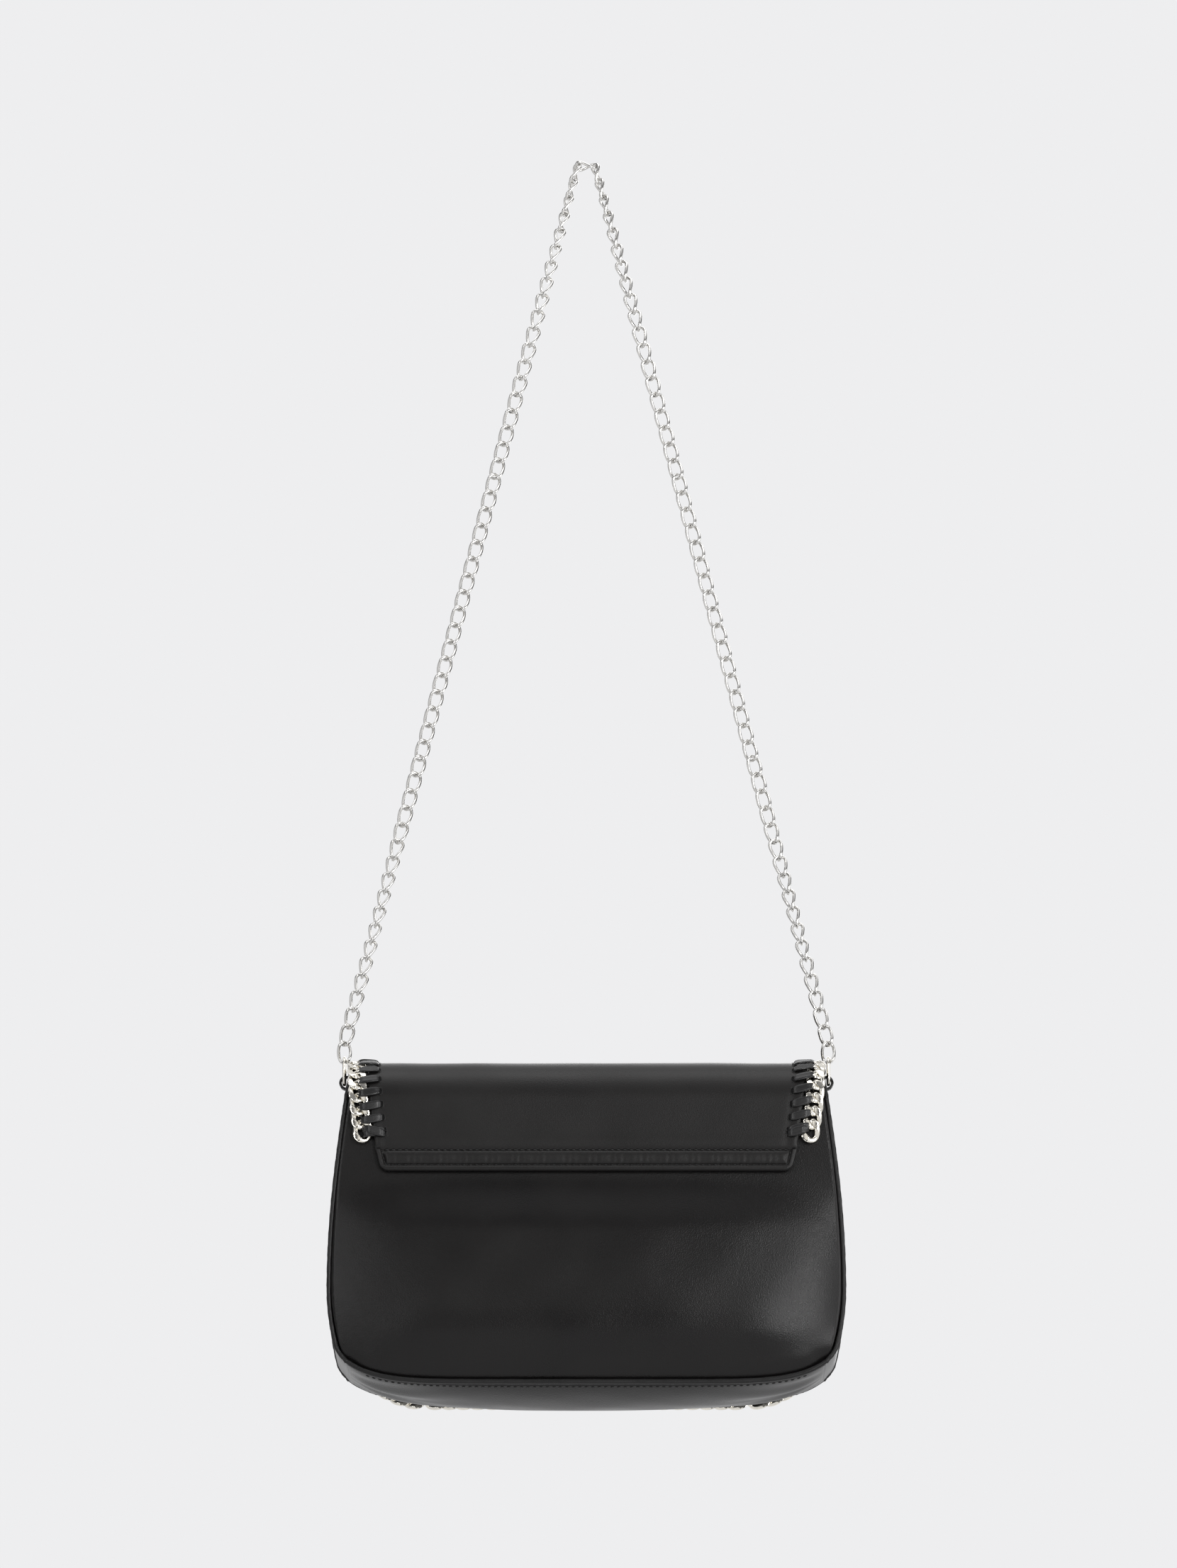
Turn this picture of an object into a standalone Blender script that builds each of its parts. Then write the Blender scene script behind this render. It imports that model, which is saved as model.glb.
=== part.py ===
"""A small black leather shoulder bag that hangs from a peg by its chain strap.

Metres, +Z up. The origin is the point where the peg carries the strap. The back of the bag,
where the flap is sewn on, faces -Y, and the flap closes over the front, at +Y. The bag's own
parts are laid out from the middle of the flap's top surface.
"""

from math import ceil, cos, pi, sin, sqrt

import bmesh
import bpy
from mathutils import Matrix, Vector
from numpy import interp

# Gaps between pieces
clear = 0.0003
swivel_clear = 0.0005

# How far apart two points lie that give an edge's direction
nudge = 0.0001

# Strap: curb links of round wire
strap_drop = 0.4527
strap_wire = 0.0016
strap_link_pitch = 0.0086
strap_link_width = 0.0074
strap_link_lift = 0.00150
strap_upper_share = 0.35
strap_middle_share = 0.67
untwist_share = 0.3
retwist_share = 0.72
lower_twist = 0.9
corner_share = 1.12

# Connector links and the leather tabs that hold them
connector_room = 0.0008
connector_wire = 0.0016
connector_width = 0.0083
connector_length = 0.0143
connector_axis_depth = 0.0035
tab_thickness = 0.0012
tab_width = 0.0038
tab_tail_depth = 0.0172

# Where the strap's plane crosses the bag, from the middle of its depth
hang_depth = 0.0055

# Bag body
body_depth = 0.060
mouth_margin = 0.0085
belly_swell = 0.0105
hem_draw = 0.0055
corner_draw = 0.0035
corner_drop = 0.1491
hem_rise = 0.0027
belly_rise = 0.0344
hem_sag = 0.0094
hem_power = 8
mouth_drop = 0.0063
gusset_top_drop = 0.0030
panel_thickness = 0.0018
panel_crown = 0.0012
gusset_thickness = 0.0014
gusset_fold = 0.0070
gusset_inset = 0.0006
bottom_sag = 0.0079
lining_thickness = 0.0008
lining_room = 0.0011
piping_radius = 0.0011
piping_inset = 0.0001

# Flap: one hide that is sewn to the back, folds over the top and hangs down the front
flap_thickness = 0.0016
flap_bend_radius = 0.0210
flap_half_width = 0.1055
flap_back_taper = 0.0043
back_taper_power = 3
flap_front_flare = 0.0025
flap_overhang = 0.0028
flap_corner_radius = 0.0300
flap_crown = 0.0045
fold_depth = 0.0095
fold_axis_rise = 0.0012
under_flap_room = 0.0020
trim_back_drop = 0.0415
band_gap = 0.0042
band_height = 0.0103
band_taper = 0.0042
band_proud = 0.0004
flap_lining_inset = 0.0090
flap_lining_thickness = 0.0008

# Magnetic snap
snap_radius = 0.0070
snap_rise = 0.0516
snap_socket_thickness = 0.0011
snap_stud_thickness = 0.0009

# Edge chain: flat curb links beside the flap's edge
trim_pitch = 0.0068
trim_width = 0.0094
trim_wire_width = 0.0016
trim_wire_height = 0.0013
trim_link_lift = 0.00120
trim_link_grip = 0.0003
trim_gap = 0.0006

# Lace that whips the edge chain to the leather
lace_width = 0.0021
lace_thickness = 0.0007
lace_hole_inset = 0.0050
lace_reach = 0.0033
lace_rise = 0.0008
lace_dip = 0.0005
lace_run_width = 0.0012
lace_run_thickness = 0.0004

# Counts of faces along each form
link_points = 6
connector_arc_steps = 6
gusset_columns = 4
bottom_rows = 4
flap_columns = 8
arc_steps = 6
tube_sides = 6
layout_passes = 4
trim_stops = 60
column_shares = (-1, -0.95, -0.84, -0.55, 0, 0.55, 0.84, 0.95, 1)
row_shares = (0, 0.05, 0.1, 0.25, 0.4, 0.55, 0.74, 0.88, 0.95, 0.98, 1)
level_share = 0.55

# Worked out from the sizes above
half_depth = body_depth / 2
body_offset = flap_thickness + under_flap_room
flap_half_depth = half_depth + body_offset
bend_centre = flap_half_depth - flap_bend_radius
body_bend_radius = flap_bend_radius - body_offset
quarter_bend = flap_bend_radius * pi / 2
bend_reach = bend_centre + quarter_bend
flap_front_drop = corner_drop + flap_overhang
front_reach = bend_reach + flap_front_drop - flap_bend_radius
seam_width = 2 * piping_radius + piping_inset + clear
flap_back_half_width = flap_half_width - flap_back_taper
flap_front_half_width = flap_half_width + flap_front_flare
band_half_width = flap_back_half_width - band_taper
band_top_drop = trim_back_drop + band_gap
band_drop = band_top_drop + band_height
snap_drop = flap_front_drop - snap_rise
mouth_half_width = flap_half_width + mouth_margin
belly_half_width = mouth_half_width + belly_swell
hem_half_width = belly_half_width - hem_draw
corner_half_width = hem_half_width - corner_draw
hem_drop = corner_drop - hem_rise
belly_drop = hem_drop - belly_rise
connector_x = flap_half_width + trim_gap + trim_width + connector_wire / 2 + connector_room
bag_origin = Vector((0, -hang_depth, -strap_drop))


def clear_scene():
    for thing in list(bpy.data.objects):
        bpy.data.objects.remove(thing, do_unlink=True)


def make_material(name, color, roughness, metallic):
    made = bpy.data.materials.new(name)
    made.use_nodes = True
    shader = made.node_tree.nodes["Principled BSDF"]
    shader.inputs["Base Color"].default_value = (*color, 1)
    shader.inputs["Roughness"].default_value = roughness
    shader.inputs["Metallic"].default_value = metallic
    return made


def make_axis(name, parent, place):
    """An empty at a joint's axis, which carries every piece that turns there."""
    axis = bpy.data.objects.new(name, None)
    bpy.context.scene.collection.objects.link(axis)
    axis["rest_place"] = place
    if parent is None:
        axis.location = place
    else:
        axis.parent = parent
        axis.location = place - Vector(parent["rest_place"])
    return axis


def add_object(name, data, axis, origin, material):
    made = bpy.data.objects.new(name, data)
    bpy.context.scene.collection.objects.link(made)
    made.parent = axis
    made.location = origin - Vector(axis["rest_place"])
    if material:
        data.materials.append(material)
    return made


def add_mesh(name, shape, axis, origin, material, smooth_angle=0.6):
    """A bmesh turned into a named object. The bmesh is freed."""
    bmesh.ops.recalc_face_normals(shape, faces=shape.faces)
    data = bpy.data.meshes.new(name)
    shape.to_mesh(data)
    shape.free()
    data.shade_smooth()
    data.set_sharp_from_angle(angle=smooth_angle)
    return add_object(name, data, axis, origin, material)


def join_with(obj, other):
    """A Boolean union with a helper that doesn't show."""
    other.hide_render = True
    other.display_type = "WIRE"
    union = obj.modifiers.new("join", "BOOLEAN")
    union.operation = "UNION"
    union.solver = "EXACT"
    union.object = other


def thicken(obj, thickness, side):
    """Solidify: side -1 grows the sheet away from its normals, and 1 along them."""
    wall = obj.modifiers.new("wall", "SOLIDIFY")
    wall.thickness = thickness
    wall.offset = side
    wall.use_even_offset = True


def sheet(name, point, across, down, axis, material, thickness):
    """A grid of point(u, v) over the shares in across and down, thickened away from its outer face."""
    shape = bmesh.new()
    rows = [[shape.verts.new(point(u, v)) for u in across] for v in down]
    for upper, lower in zip(rows, rows[1:]):
        for i in range(len(across) - 1):
            shape.faces.new((upper[i], upper[i + 1], lower[i + 1], lower[i]))
    bmesh.ops.triangulate(shape, faces=shape.faces, quad_method="FIXED")
    data = bpy.data.meshes.new(name)
    shape.to_mesh(data)
    shape.free()
    data.shade_smooth()
    made = add_object(name, data, axis, bag_origin, material)
    thicken(made, thickness, -1)
    return made


def even_shares(count, low=-1.0, high=1.0):
    return [low + (high - low) * i / count for i in range(count + 1)]


def prism(shape, outline, place, half_span):
    """Adds a solid to a bmesh: an outline of (across, normal) points, drawn out along the frame's x."""
    ends = []
    for side in (-half_span, half_span):
        ends.append([shape.verts.new(place @ Vector((side, a, n))) for a, n in outline])
    shape.faces.new(ends[0])
    shape.faces.new(list(reversed(ends[1])))
    for i in range(len(outline)):
        j = (i + 1) % len(outline)
        shape.faces.new((ends[0][j], ends[0][i], ends[1][i], ends[1][j]))


def sweep(shape, frames, section):
    """Adds a solid to a bmesh: a section of (across, normal) points carried along the frames."""
    rings = [[shape.verts.new(f @ Vector((0, a, n))) for a, n in section] for f in frames]
    shape.faces.new(rings[0])
    shape.faces.new(list(reversed(rings[-1])))
    for ring, after in zip(rings, rings[1:]):
        for i in range(len(section)):
            j = (i + 1) % len(section)
            shape.faces.new((ring[j], ring[i], after[i], after[j]))


def frame_at(centre, along, across):
    """A matrix whose x runs along, y across and z out of a piece's own plane."""
    x = along.normalized()
    z = x.cross(across).normalized()
    y = z.cross(x)
    made = Matrix((x, y, z)).transposed().to_4x4()
    made.translation = centre
    return made


# Chains


def add_link(shape, place, half_length, half_width, lift, section, points):
    """One closed link: an oval whose wire rises and falls twice, as a curb link's does."""
    turn = 2 * pi / points
    stretch = 1 / cos(turn / 2)
    centres = []
    for i in range(points):
        angle = (i + 1 / 2) * turn
        spot = (half_length * stretch * cos(angle), half_width * sin(angle), lift * sin(2 * angle))
        centres.append(Vector(spot))
    rings = []
    for i, centre in enumerate(centres):
        before = (centre - centres[i - 1]).normalized()
        after = (centres[(i + 1) % points] - centre).normalized()
        ahead = (before + after).normalized()
        swell = 1 / ahead.dot(after)
        side = ahead.cross(Vector((0, 0, 1))).normalized()
        up = side.cross(ahead)
        rings.append([shape.verts.new(place @ (centre + side * a * swell + up * n)) for a, n in section])
    for i in range(points):
        ring, after = rings[i], rings[(i + 1) % points]
        for k in range(len(section)):
            m = (k + 1) % len(section)
            shape.faces.new((ring[k], ring[m], after[m], after[k]))


def add_chain(name, places, link, axis, origin, material):
    """Links fused where they hook together. Every other link is a helper that is joined on."""
    halves = []
    for first in (0, 1):
        shape = bmesh.new()
        for place in places[first::2]:
            add_link(shape, place, *link)
        halves.append(shape)
    made = add_mesh(name, halves[0], axis, origin, material)
    if len(places) > 1:
        other = add_mesh(name + "_odd_links", halves[1], axis, origin, None)
        join_with(made, other)
    else:
        halves[1].free()
    return made


def diamond(half_width, half_height):
    """The section of a wire, on four corners."""
    wide, tall = half_width * corner_share, half_height * corner_share
    return ((wide, 0), (0, tall), (-wide, 0), (0, -tall))


def link_twist(share):
    """A link's turn about its strand: edge on over the peg, face on halfway, and part-turned lower down."""
    above = max(1 - share / untwist_share, 0)
    below = max(share - retwist_share, 0) / (1 - retwist_share)
    return pi / 2 * above + lower_twist * sin(pi * below)


def strand_layout():
    """Where each link of one strand lies, at +X, with the place of each swivel between stretches."""
    first_hook = Vector((strap_link_pitch / 2, 0, strap_wire / 2))
    hook_room = (strap_wire + connector_wire) / 2 * corner_share + clear
    bend = (connector_width - connector_wire) / 2
    hook_height = connector_length - connector_width + bend - connector_axis_depth - hook_room
    last_hook = Vector((connector_x, 0, hook_height - strap_drop))
    fused = strap_wire
    loose = strap_wire + swivel_clear
    down = Vector((0, 0, -1))
    run = last_hook - first_hook
    count = round(run.length / strap_link_pitch)
    ends = (1, round(count * strap_upper_share), round(count * strap_middle_share), count)
    swivels = len(ends) - 1
    pitch = strap_link_pitch
    for _ in range(layout_passes):
        # The last link hangs upright, so that it clears its connector on both sides.
        run = last_hook - down * (pitch + fused / 2) - first_hook
        pitch = (run.length + swivels * (loose - fused)) / (count - 1)
    along = run.normalized()
    half_length = (pitch + fused) / 2
    stretches = []
    hinges = []
    reach = pitch / 2
    first = 0
    for end in ends:
        stretch = []
        for k in range(first, end):
            way, centre = along, first_hook + along * reach
            if k == count - 1:
                way, centre = down, last_hook - down * half_length
            across = Matrix.Rotation(link_twist(k / (count - 1)), 3, way) @ Vector((0, 1, 0)).cross(way)
            stretch.append(frame_at(centre, way, across))
            reach += pitch
        stretches.append(stretch)
        hinges.append(stretch[-1].translation + along * (half_length - loose / 2))
        reach -= loose - fused
        first = end
    return stretches, hinges, half_length, pitch


def turned(places):
    """The same places in the other strand, half a turn about the upright through the peg."""
    half_turn = Matrix.Rotation(pi, 4, "Z")
    return [half_turn @ place for place in places]


def make_strap(steel, axes):
    stretches, hinges, half_length, pitch = strand_layout()
    wire = diamond(strap_wire / 2, strap_wire / 2)
    half_width = (strap_link_width - strap_wire) / 2
    link = (half_length, half_width, strap_link_lift, wire, link_points)
    top = frame_at(Vector((0, 0, strap_wire / 2)), Vector((1, 0, 0)), Vector((0, 1, 0)))
    bight = turned(stretches[0]) + [top] + stretches[0]
    add_chain("strap_top_links", bight, link, axes["strap_top"], Vector(), steel)
    for stretch, body in zip(stretches[1:], ("strap_upper", "strap_middle", "strap_lower")):
        add_chain(body + "_right", stretch, link, axes[body], Vector(), steel)
        add_chain(body + "_left", turned(stretch), link, axes[body], Vector(), steel)


def make_connectors(steel, axes):
    """Oblong links that stand fore and aft, outside the flap's edge chain."""
    bend = (connector_width - connector_wire) / 2
    rise = connector_length - connector_width
    section = diamond(connector_wire / 2, connector_wire / 2)
    steps = [i * pi / connector_arc_steps for i in range(connector_arc_steps + 1)]
    for side, word in ((-1, "left"), (1, "right")):
        shape = bmesh.new()
        rings = []
        for start, height in ((0, rise), (pi, 0)):
            for step in steps:
                angle = start + step
                out = Vector((0, cos(angle), sin(angle)))
                low = Vector((side * connector_x, hang_depth, height - connector_axis_depth))
                rings.append(
                    [shape.verts.new(low + out * (bend + a) + Vector((n, 0, 0))) for a, n in section]
                )
        for i, ring in enumerate(rings):
            after = rings[(i + 1) % len(rings)]
            for k in range(len(section)):
                m = (k + 1) % len(section)
                shape.faces.new((ring[k], ring[m], after[m], after[k]))
        add_mesh("connector_" + word, shape, axes["strap_lower"], bag_origin, steel)


# Bag body


def side_half_width(z):
    """Half the bag's width at its seams, at height z."""
    drop = -z
    if drop <= belly_drop:
        share = max(drop - gusset_top_drop, 0) / (belly_drop - gusset_top_drop)
        return mouth_half_width + (belly_half_width - mouth_half_width) * sin(share * pi / 2)
    if drop <= hem_drop:
        share = (drop - belly_drop) / (hem_drop - belly_drop)
        return belly_half_width - (belly_half_width - hem_half_width) * share**2
    share = (drop - hem_drop) / (corner_drop - hem_drop)
    return hem_half_width - (hem_half_width - corner_half_width) * share**2


def wall_depth(z, inset=0.0):
    """How far the front and back stand from the middle, at height z: they draw in under the flap's bend."""
    rise = max(z + flap_bend_radius, 0)
    return bend_centre + sqrt(max((body_bend_radius - inset) ** 2 - rise**2, 0))


def level(share):
    """The height of a row, from the mouth to the lower corners."""
    return -mouth_drop - (corner_drop - mouth_drop) * share


def hem_height(u):
    return -corner_drop - hem_sag * (1 - abs(u) ** hem_power)


def panel_point(side, inset):
    """The outer face of the front (side 1) or back (side -1), as a function of shares across and down."""

    def point(u, v):
        z = row_height(u, v)
        x = u * (side_half_width(level(v)) - inset)
        start = 0 if side > 0 else (band_drop - mouth_drop) / (corner_drop - mouth_drop)
        swell = sin(pi * max(v - start, 0) / (1 - start))
        y = wall_depth(z) + panel_crown * (1 - u**2) * swell
        return Vector((x, side * y, z))

    return point


def make_panels(leather, axis):
    for side, word in ((-1, "back"), (1, "front")):
        # The shares run so that the outer face looks away from the bag.
        across = [u * side for u in column_shares]
        point = panel_point(side, seam_width)
        sheet(word + "_panel", point, across, row_shares, axis, leather, panel_thickness)


def gusset_point(side):
    def point(u, v):
        z = level(v)
        if v == 0:
            z = -gusset_top_drop
        if v == 1:
            z += gusset_thickness + clear
        fold = gusset_fold * sin(pi * v) ** 2 * (1 - u**2)
        reach = wall_depth(z, seam_width)
        return Vector((side * (side_half_width(z) - gusset_inset - fold), u * reach, z))

    return point


def bottom_point(u, v):
    x = u * (corner_half_width - gusset_inset)
    y = v * (half_depth - seam_width)
    sag = bottom_sag * (1 - v**2) * (1 - u**4)
    return Vector((x, y, hem_height(u) - sag))


def make_gussets(leather, axis):
    for side, word in ((-1, "left"), (1, "right")):
        across = even_shares(gusset_columns, side, -side)
        sheet("gusset_" + word, gusset_point(side), across, row_shares, axis, leather, gusset_thickness)
    across = [-u for u in column_shares]
    down = even_shares(bottom_rows, -1, 1)
    sheet("gusset_bottom", bottom_point, across, down, axis, leather, gusset_thickness)


def add_tube(name, points, radius, side, axis, material):
    """A round cord through the points, with its flats square to side."""
    shape = bmesh.new()
    turn = 2 * pi / tube_sides
    angles = [turn * (i + 1 / 2) for i in range(tube_sides)]
    section = [(radius * cos(angle), radius * sin(angle)) for angle in angles]
    frames = []
    for i, spot in enumerate(points):
        along = points[min(i + 1, len(points) - 1)] - points[max(i - 1, 0)]
        frames.append(frame_at(spot, along, side))
    sweep(shape, frames, section)
    return add_mesh(name, shape, axis, bag_origin, material)


def make_piping(leather, axis):
    sink = piping_inset + piping_radius
    across = Vector((0, 1, 0))
    for side, word in ((-1, "back"), (1, "front")):
        for hand, hand_word in ((-1, "left"), (1, "right")):
            spots = []
            for v in row_shares:
                z = level(v)
                if v == 1:
                    z += seam_width
                x = hand * (side_half_width(z) - sink)
                spots.append(Vector((x, side * wall_depth(z, sink), z)))
            add_tube("_".join(("piping", word, hand_word)), spots, piping_radius, across, axis, leather)
        hem = []
        for u in column_shares:
            x = u * (corner_half_width - 2 * sink)
            hem.append(Vector((x, side * (half_depth - sink), hem_height(u) + sink)))
        add_tube("hem_welt_" + word, hem, piping_radius, across, axis, leather)


def row_height(u, v):
    """The height of a row at a share across: the lower rows sag with the hem."""
    sag = hem_height(u) + seam_width - level(1)
    return level(v) + sag * max(v - level_share, 0) / (1 - level_share)


def lining_ring(v):
    """The lining's outline at a row: it follows the walls inside, fold and all."""
    z = level(v)
    reach_x = side_half_width(z) - gusset_inset - gusset_thickness - lining_room
    reach_y = wall_depth(z, panel_thickness + lining_room)
    fold = gusset_fold * sin(pi * v) ** 2
    spots = []
    for way in (1, -1):
        for u in even_shares(gusset_columns, way, -way):
            y = u * wall_depth(z, seam_width + clear)
            spots.append(Vector((way * (reach_x - fold * (1 - u**2)), y, row_height(1, v))))
        for u in even_shares(gusset_columns, way, -way):
            spots.append(Vector((u * (reach_x - seam_width), -way * reach_y, row_height(u, v))))
    return spots


def make_lining(fabric, axis):
    """A sewn bag inside the bag: its walls, then its floor, thickened inwards."""
    shape = bmesh.new()
    rings = [[shape.verts.new(spot) for spot in lining_ring(v)] for v in row_shares[1:]]
    for ring, after in zip(rings, rings[1:]):
        for i in range(len(ring)):
            j = (i + 1) % len(ring)
            shape.faces.new((ring[i], ring[j], after[j], after[i]))
    points = gusset_columns + 1
    low = rings[-1]
    right, back, left, front = (low[i * points : (i + 1) * points] for i in range(4))
    shape.faces.new([front[-1]] + right + [back[0]])
    shape.faces.new([back[-1]] + left + [front[0]])
    front.reverse()
    for i in range(gusset_columns):
        shape.faces.new((back[i], back[i + 1], front[i + 1], front[i]))
    bmesh.ops.triangulate(shape, faces=shape.faces, quad_method="FIXED")
    data = bpy.data.meshes.new("lining")
    bmesh.ops.recalc_face_normals(shape, faces=shape.faces)
    shape.to_mesh(data)
    shape.free()
    data.shade_smooth()
    made = add_object("lining", data, axis, bag_origin, fabric)
    thicken(made, lining_thickness, -1)


def make_tabs(leather, axis):
    """Leather loops that hold the connectors, drawn in the X-Z plane and as wide as fits inside the link."""
    bend = (connector_width - connector_wire) / 2
    wire_drop = connector_axis_depth + bend
    room = connector_wire * corner_share / 2 + clear
    roof = -connector_axis_depth + tab_thickness / 2
    hole_top = roof - tab_thickness
    hole_low = -wire_drop - room
    floor = hole_low - tab_thickness
    tail = -tab_tail_depth
    for side, word in ((-1, "left"), (1, "right")):
        hole_out = connector_x + room
        out = hole_out + tab_thickness

        def wall(z):
            return side_half_width(z) - gusset_inset + clear

        outline = [
            (wall(roof), roof),
            (out - tab_thickness, roof),
            (out, roof - tab_thickness),
            (out, floor + tab_thickness),
            (out - tab_thickness, floor),
            (wall(floor) + tab_thickness, floor - tab_thickness),
            (wall(tail) + tab_thickness, tail),
            (wall(tail), tail),
            (wall(hole_low), hole_low),
            (hole_out, hole_low),
            (hole_out, hole_top),
            (wall(hole_top), hole_top),
        ]
        shape = bmesh.new()
        ends = []
        for y in (-tab_width / 2, tab_width / 2):
            ends.append([shape.verts.new((side * x, hang_depth + y, z)) for x, z in outline])
        shape.faces.new(ends[0])
        shape.faces.new(list(reversed(ends[1])))
        for i in range(len(outline)):
            j = (i + 1) % len(outline)
            shape.faces.new((ends[0][j], ends[0][i], ends[1][i], ends[1][j]))
        add_mesh("strap_tab_" + word, shape, axis, bag_origin, leather)


# Flap


def flap_edge(reach):
    """Half the flap's width, where reach is the distance from the middle of the top, over the outer face."""
    if reach < 0:
        share = min(-reach / (bend_reach + trim_back_drop - flap_bend_radius), 1)
        return flap_half_width - flap_back_taper * share**back_taper_power
    share = min(reach / front_reach, 1)
    return flap_half_width + (flap_front_half_width - flap_half_width) * share


def flap_frame(reach, x=0.0, rise=0.0):
    """The point over the flap's profile at reach and rise, and the directions of travel and of rise there."""
    way = -1 if reach < 0 else 1
    far = abs(reach)
    if far <= bend_centre:
        angle = 0
        base = Vector((x, reach, 0))
    elif far <= bend_reach:
        angle = (far - bend_centre) / flap_bend_radius
        base = Vector(
            (x, way * (bend_centre + flap_bend_radius * sin(angle)), flap_bend_radius * (cos(angle) - 1))
        )
    else:
        angle = pi / 2
        base = Vector((x, way * flap_half_depth, -flap_bend_radius - (far - bend_reach)))
    up = Vector((0, way * sin(angle), cos(angle)))
    travel = Vector((0, cos(angle), -way * sin(angle)))
    crown = 0
    if reach > bend_reach:
        share = (reach - bend_reach) / (front_reach + trim_width - bend_reach)
        spread = max(1 - (x / (flap_front_half_width + trim_gap + trim_width)) ** 2, 0)
        crown = flap_crown * spread * sin(pi * share)
    return base + up * (rise + crown), travel, up


def arc_reaches(low, high):
    """Stops along the profile from low to high, closer together over the bends."""
    stops = {low, high}
    for way in (-1, 1):
        for i in range(arc_steps + 1):
            stops.add(way * (bend_centre + quarter_bend * i / arc_steps))
    return sorted(stop for stop in stops if low <= stop <= high)


def flap_sheet(name, reaches, half_width, columns, axis, material, thickness, rise=0.0):
    def point(u, reach):
        return flap_frame(reach, u * half_width(reach), rise)[0]

    return sheet(name, point, even_shares(columns, -1, 1), reaches, axis, material, thickness)


def front_half_width(inset):
    """Half the width of the front part down to its rounded corners, drawn in by an inset."""

    def half(reach):
        low = front_reach - inset
        radius = flap_corner_radius - inset
        edge = flap_edge(reach) - inset
        into = reach - (low - radius)
        if into <= 0:
            return edge
        return edge - radius + sqrt(max(radius**2 - into**2, 0))

    return half


def front_reaches(inset, first):
    low = front_reach - inset
    radius = flap_corner_radius - inset
    straight = even_shares(5, first, low - radius)
    curve = [low - radius + radius * sin(pi / 2 * i / arc_steps) for i in range(1, arc_steps + 1)]
    return straight + curve


def make_flap(leather, lining, axes):
    bag, top, front = axes["bag_body"], axes["flap_top"], axes["flap_front"]
    band_reach = -(bend_reach + band_top_drop - flap_bend_radius)
    back_stops = even_shares(3, band_reach + clear, -bend_reach)[:-1]
    back_stops += arc_reaches(-bend_reach, fold_depth - clear / 2)
    flap_sheet("flap_back", back_stops, flap_edge, flap_columns, bag, leather, flap_thickness)
    top_stops = arc_reaches(fold_depth + clear / 2, bend_reach - clear / 2)
    flap_sheet("flap_top", top_stops, flap_edge, flap_columns, top, leather, flap_thickness)
    stops = front_reaches(0, bend_reach + clear / 2)
    half = front_half_width(0)
    flap_sheet("flap_front", stops, half, flap_columns, front, leather, flap_thickness)
    stops = front_reaches(flap_lining_inset, bend_reach + flap_lining_inset)
    half = front_half_width(flap_lining_inset)
    depth = -flap_thickness - clear
    flap_sheet("flap_lining", stops, half, flap_columns, front, lining, flap_lining_thickness, depth)


def make_band(leather, axis):
    """The padded band, sewn twice, that holds the flap to the back."""
    outline_z = (-band_top_drop, -band_drop)
    shape = bmesh.new()
    rings = []
    for u in even_shares(flap_columns):
        ring = []
        for z, half in zip(outline_z, (flap_back_half_width, band_half_width)):
            for depth in (half_depth + clear, flap_half_depth + band_proud):
                ring.append(shape.verts.new((u * half, -depth, z)))
        rings.append((ring[0], ring[1], ring[3], ring[2]))
    shape.faces.new(rings[0])
    shape.faces.new(list(reversed(rings[-1])))
    for ring, after in zip(rings, rings[1:]):
        for i in range(4):
            j = (i + 1) % 4
            shape.faces.new((ring[j], ring[i], after[i], after[j]))
    add_mesh("flap_band", shape, axis, bag_origin, leather)


def make_snap(steel, axes):
    """Magnetic snap: a socket on the front panel and a stud under the flap."""
    share = (snap_drop - mouth_drop) / (corner_drop + hem_sag - seam_width - mouth_drop)
    panel_face = panel_point(1, seam_width)(0, share).y
    flap_reach = bend_reach + snap_drop - flap_bend_radius
    rise = -flap_thickness - flap_lining_thickness - 2 * clear
    flap_face = flap_frame(flap_reach, 0, rise)[0].y
    pieces = (
        ("snap_socket", panel_face + clear + snap_socket_thickness / 2, snap_socket_thickness, "bag_body"),
        ("snap_stud", flap_face - snap_stud_thickness / 2, snap_stud_thickness, "flap_front"),
    )
    for name, y, thickness, body in pieces:
        shape = bmesh.new()
        stand = Matrix.Translation((0, y, -snap_drop)) @ Matrix.Rotation(pi / 2, 4, "X")
        bmesh.ops.create_cone(
            shape,
            cap_ends=True,
            segments=16,
            radius1=snap_radius,
            radius2=snap_radius,
            depth=thickness,
            matrix=stand,
        )
        add_mesh(name, shape, axes[body], bag_origin, steel)


# Edge chain and lace


def side_path(side, low, high):
    """The flap's edge at one side, between two reaches: where it lies, out from the edge, and its length."""

    def place(distance, out):
        reach = low + distance
        point, _, up = flap_frame(reach, side * (flap_edge(reach) + out))
        return point, up

    return place, high - low


def front_path(side):
    """The flap's edge down one side of the front and round its lower corner."""
    straight = front_reach - flap_corner_radius - bend_reach
    corner = flap_corner_radius * pi / 2

    def place(distance, out):
        reach = bend_reach + distance
        x = flap_edge(reach) + out
        if distance > straight:
            turn = (distance - straight) / flap_corner_radius
            radius = flap_corner_radius + out
            reach = front_reach - flap_corner_radius + radius * sin(turn)
            x = flap_edge(front_reach) - flap_corner_radius + radius * cos(turn)
        point, _, up = flap_frame(reach, side * x)
        return point, up

    return place, straight + corner


def bottom_path():
    """The front's lower edge, from +X to -X."""
    half = flap_edge(front_reach) - flap_corner_radius

    def place(distance, out):
        point, _, up = flap_frame(front_reach + out, half - distance)
        return point, up

    return place, 2 * half


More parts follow.
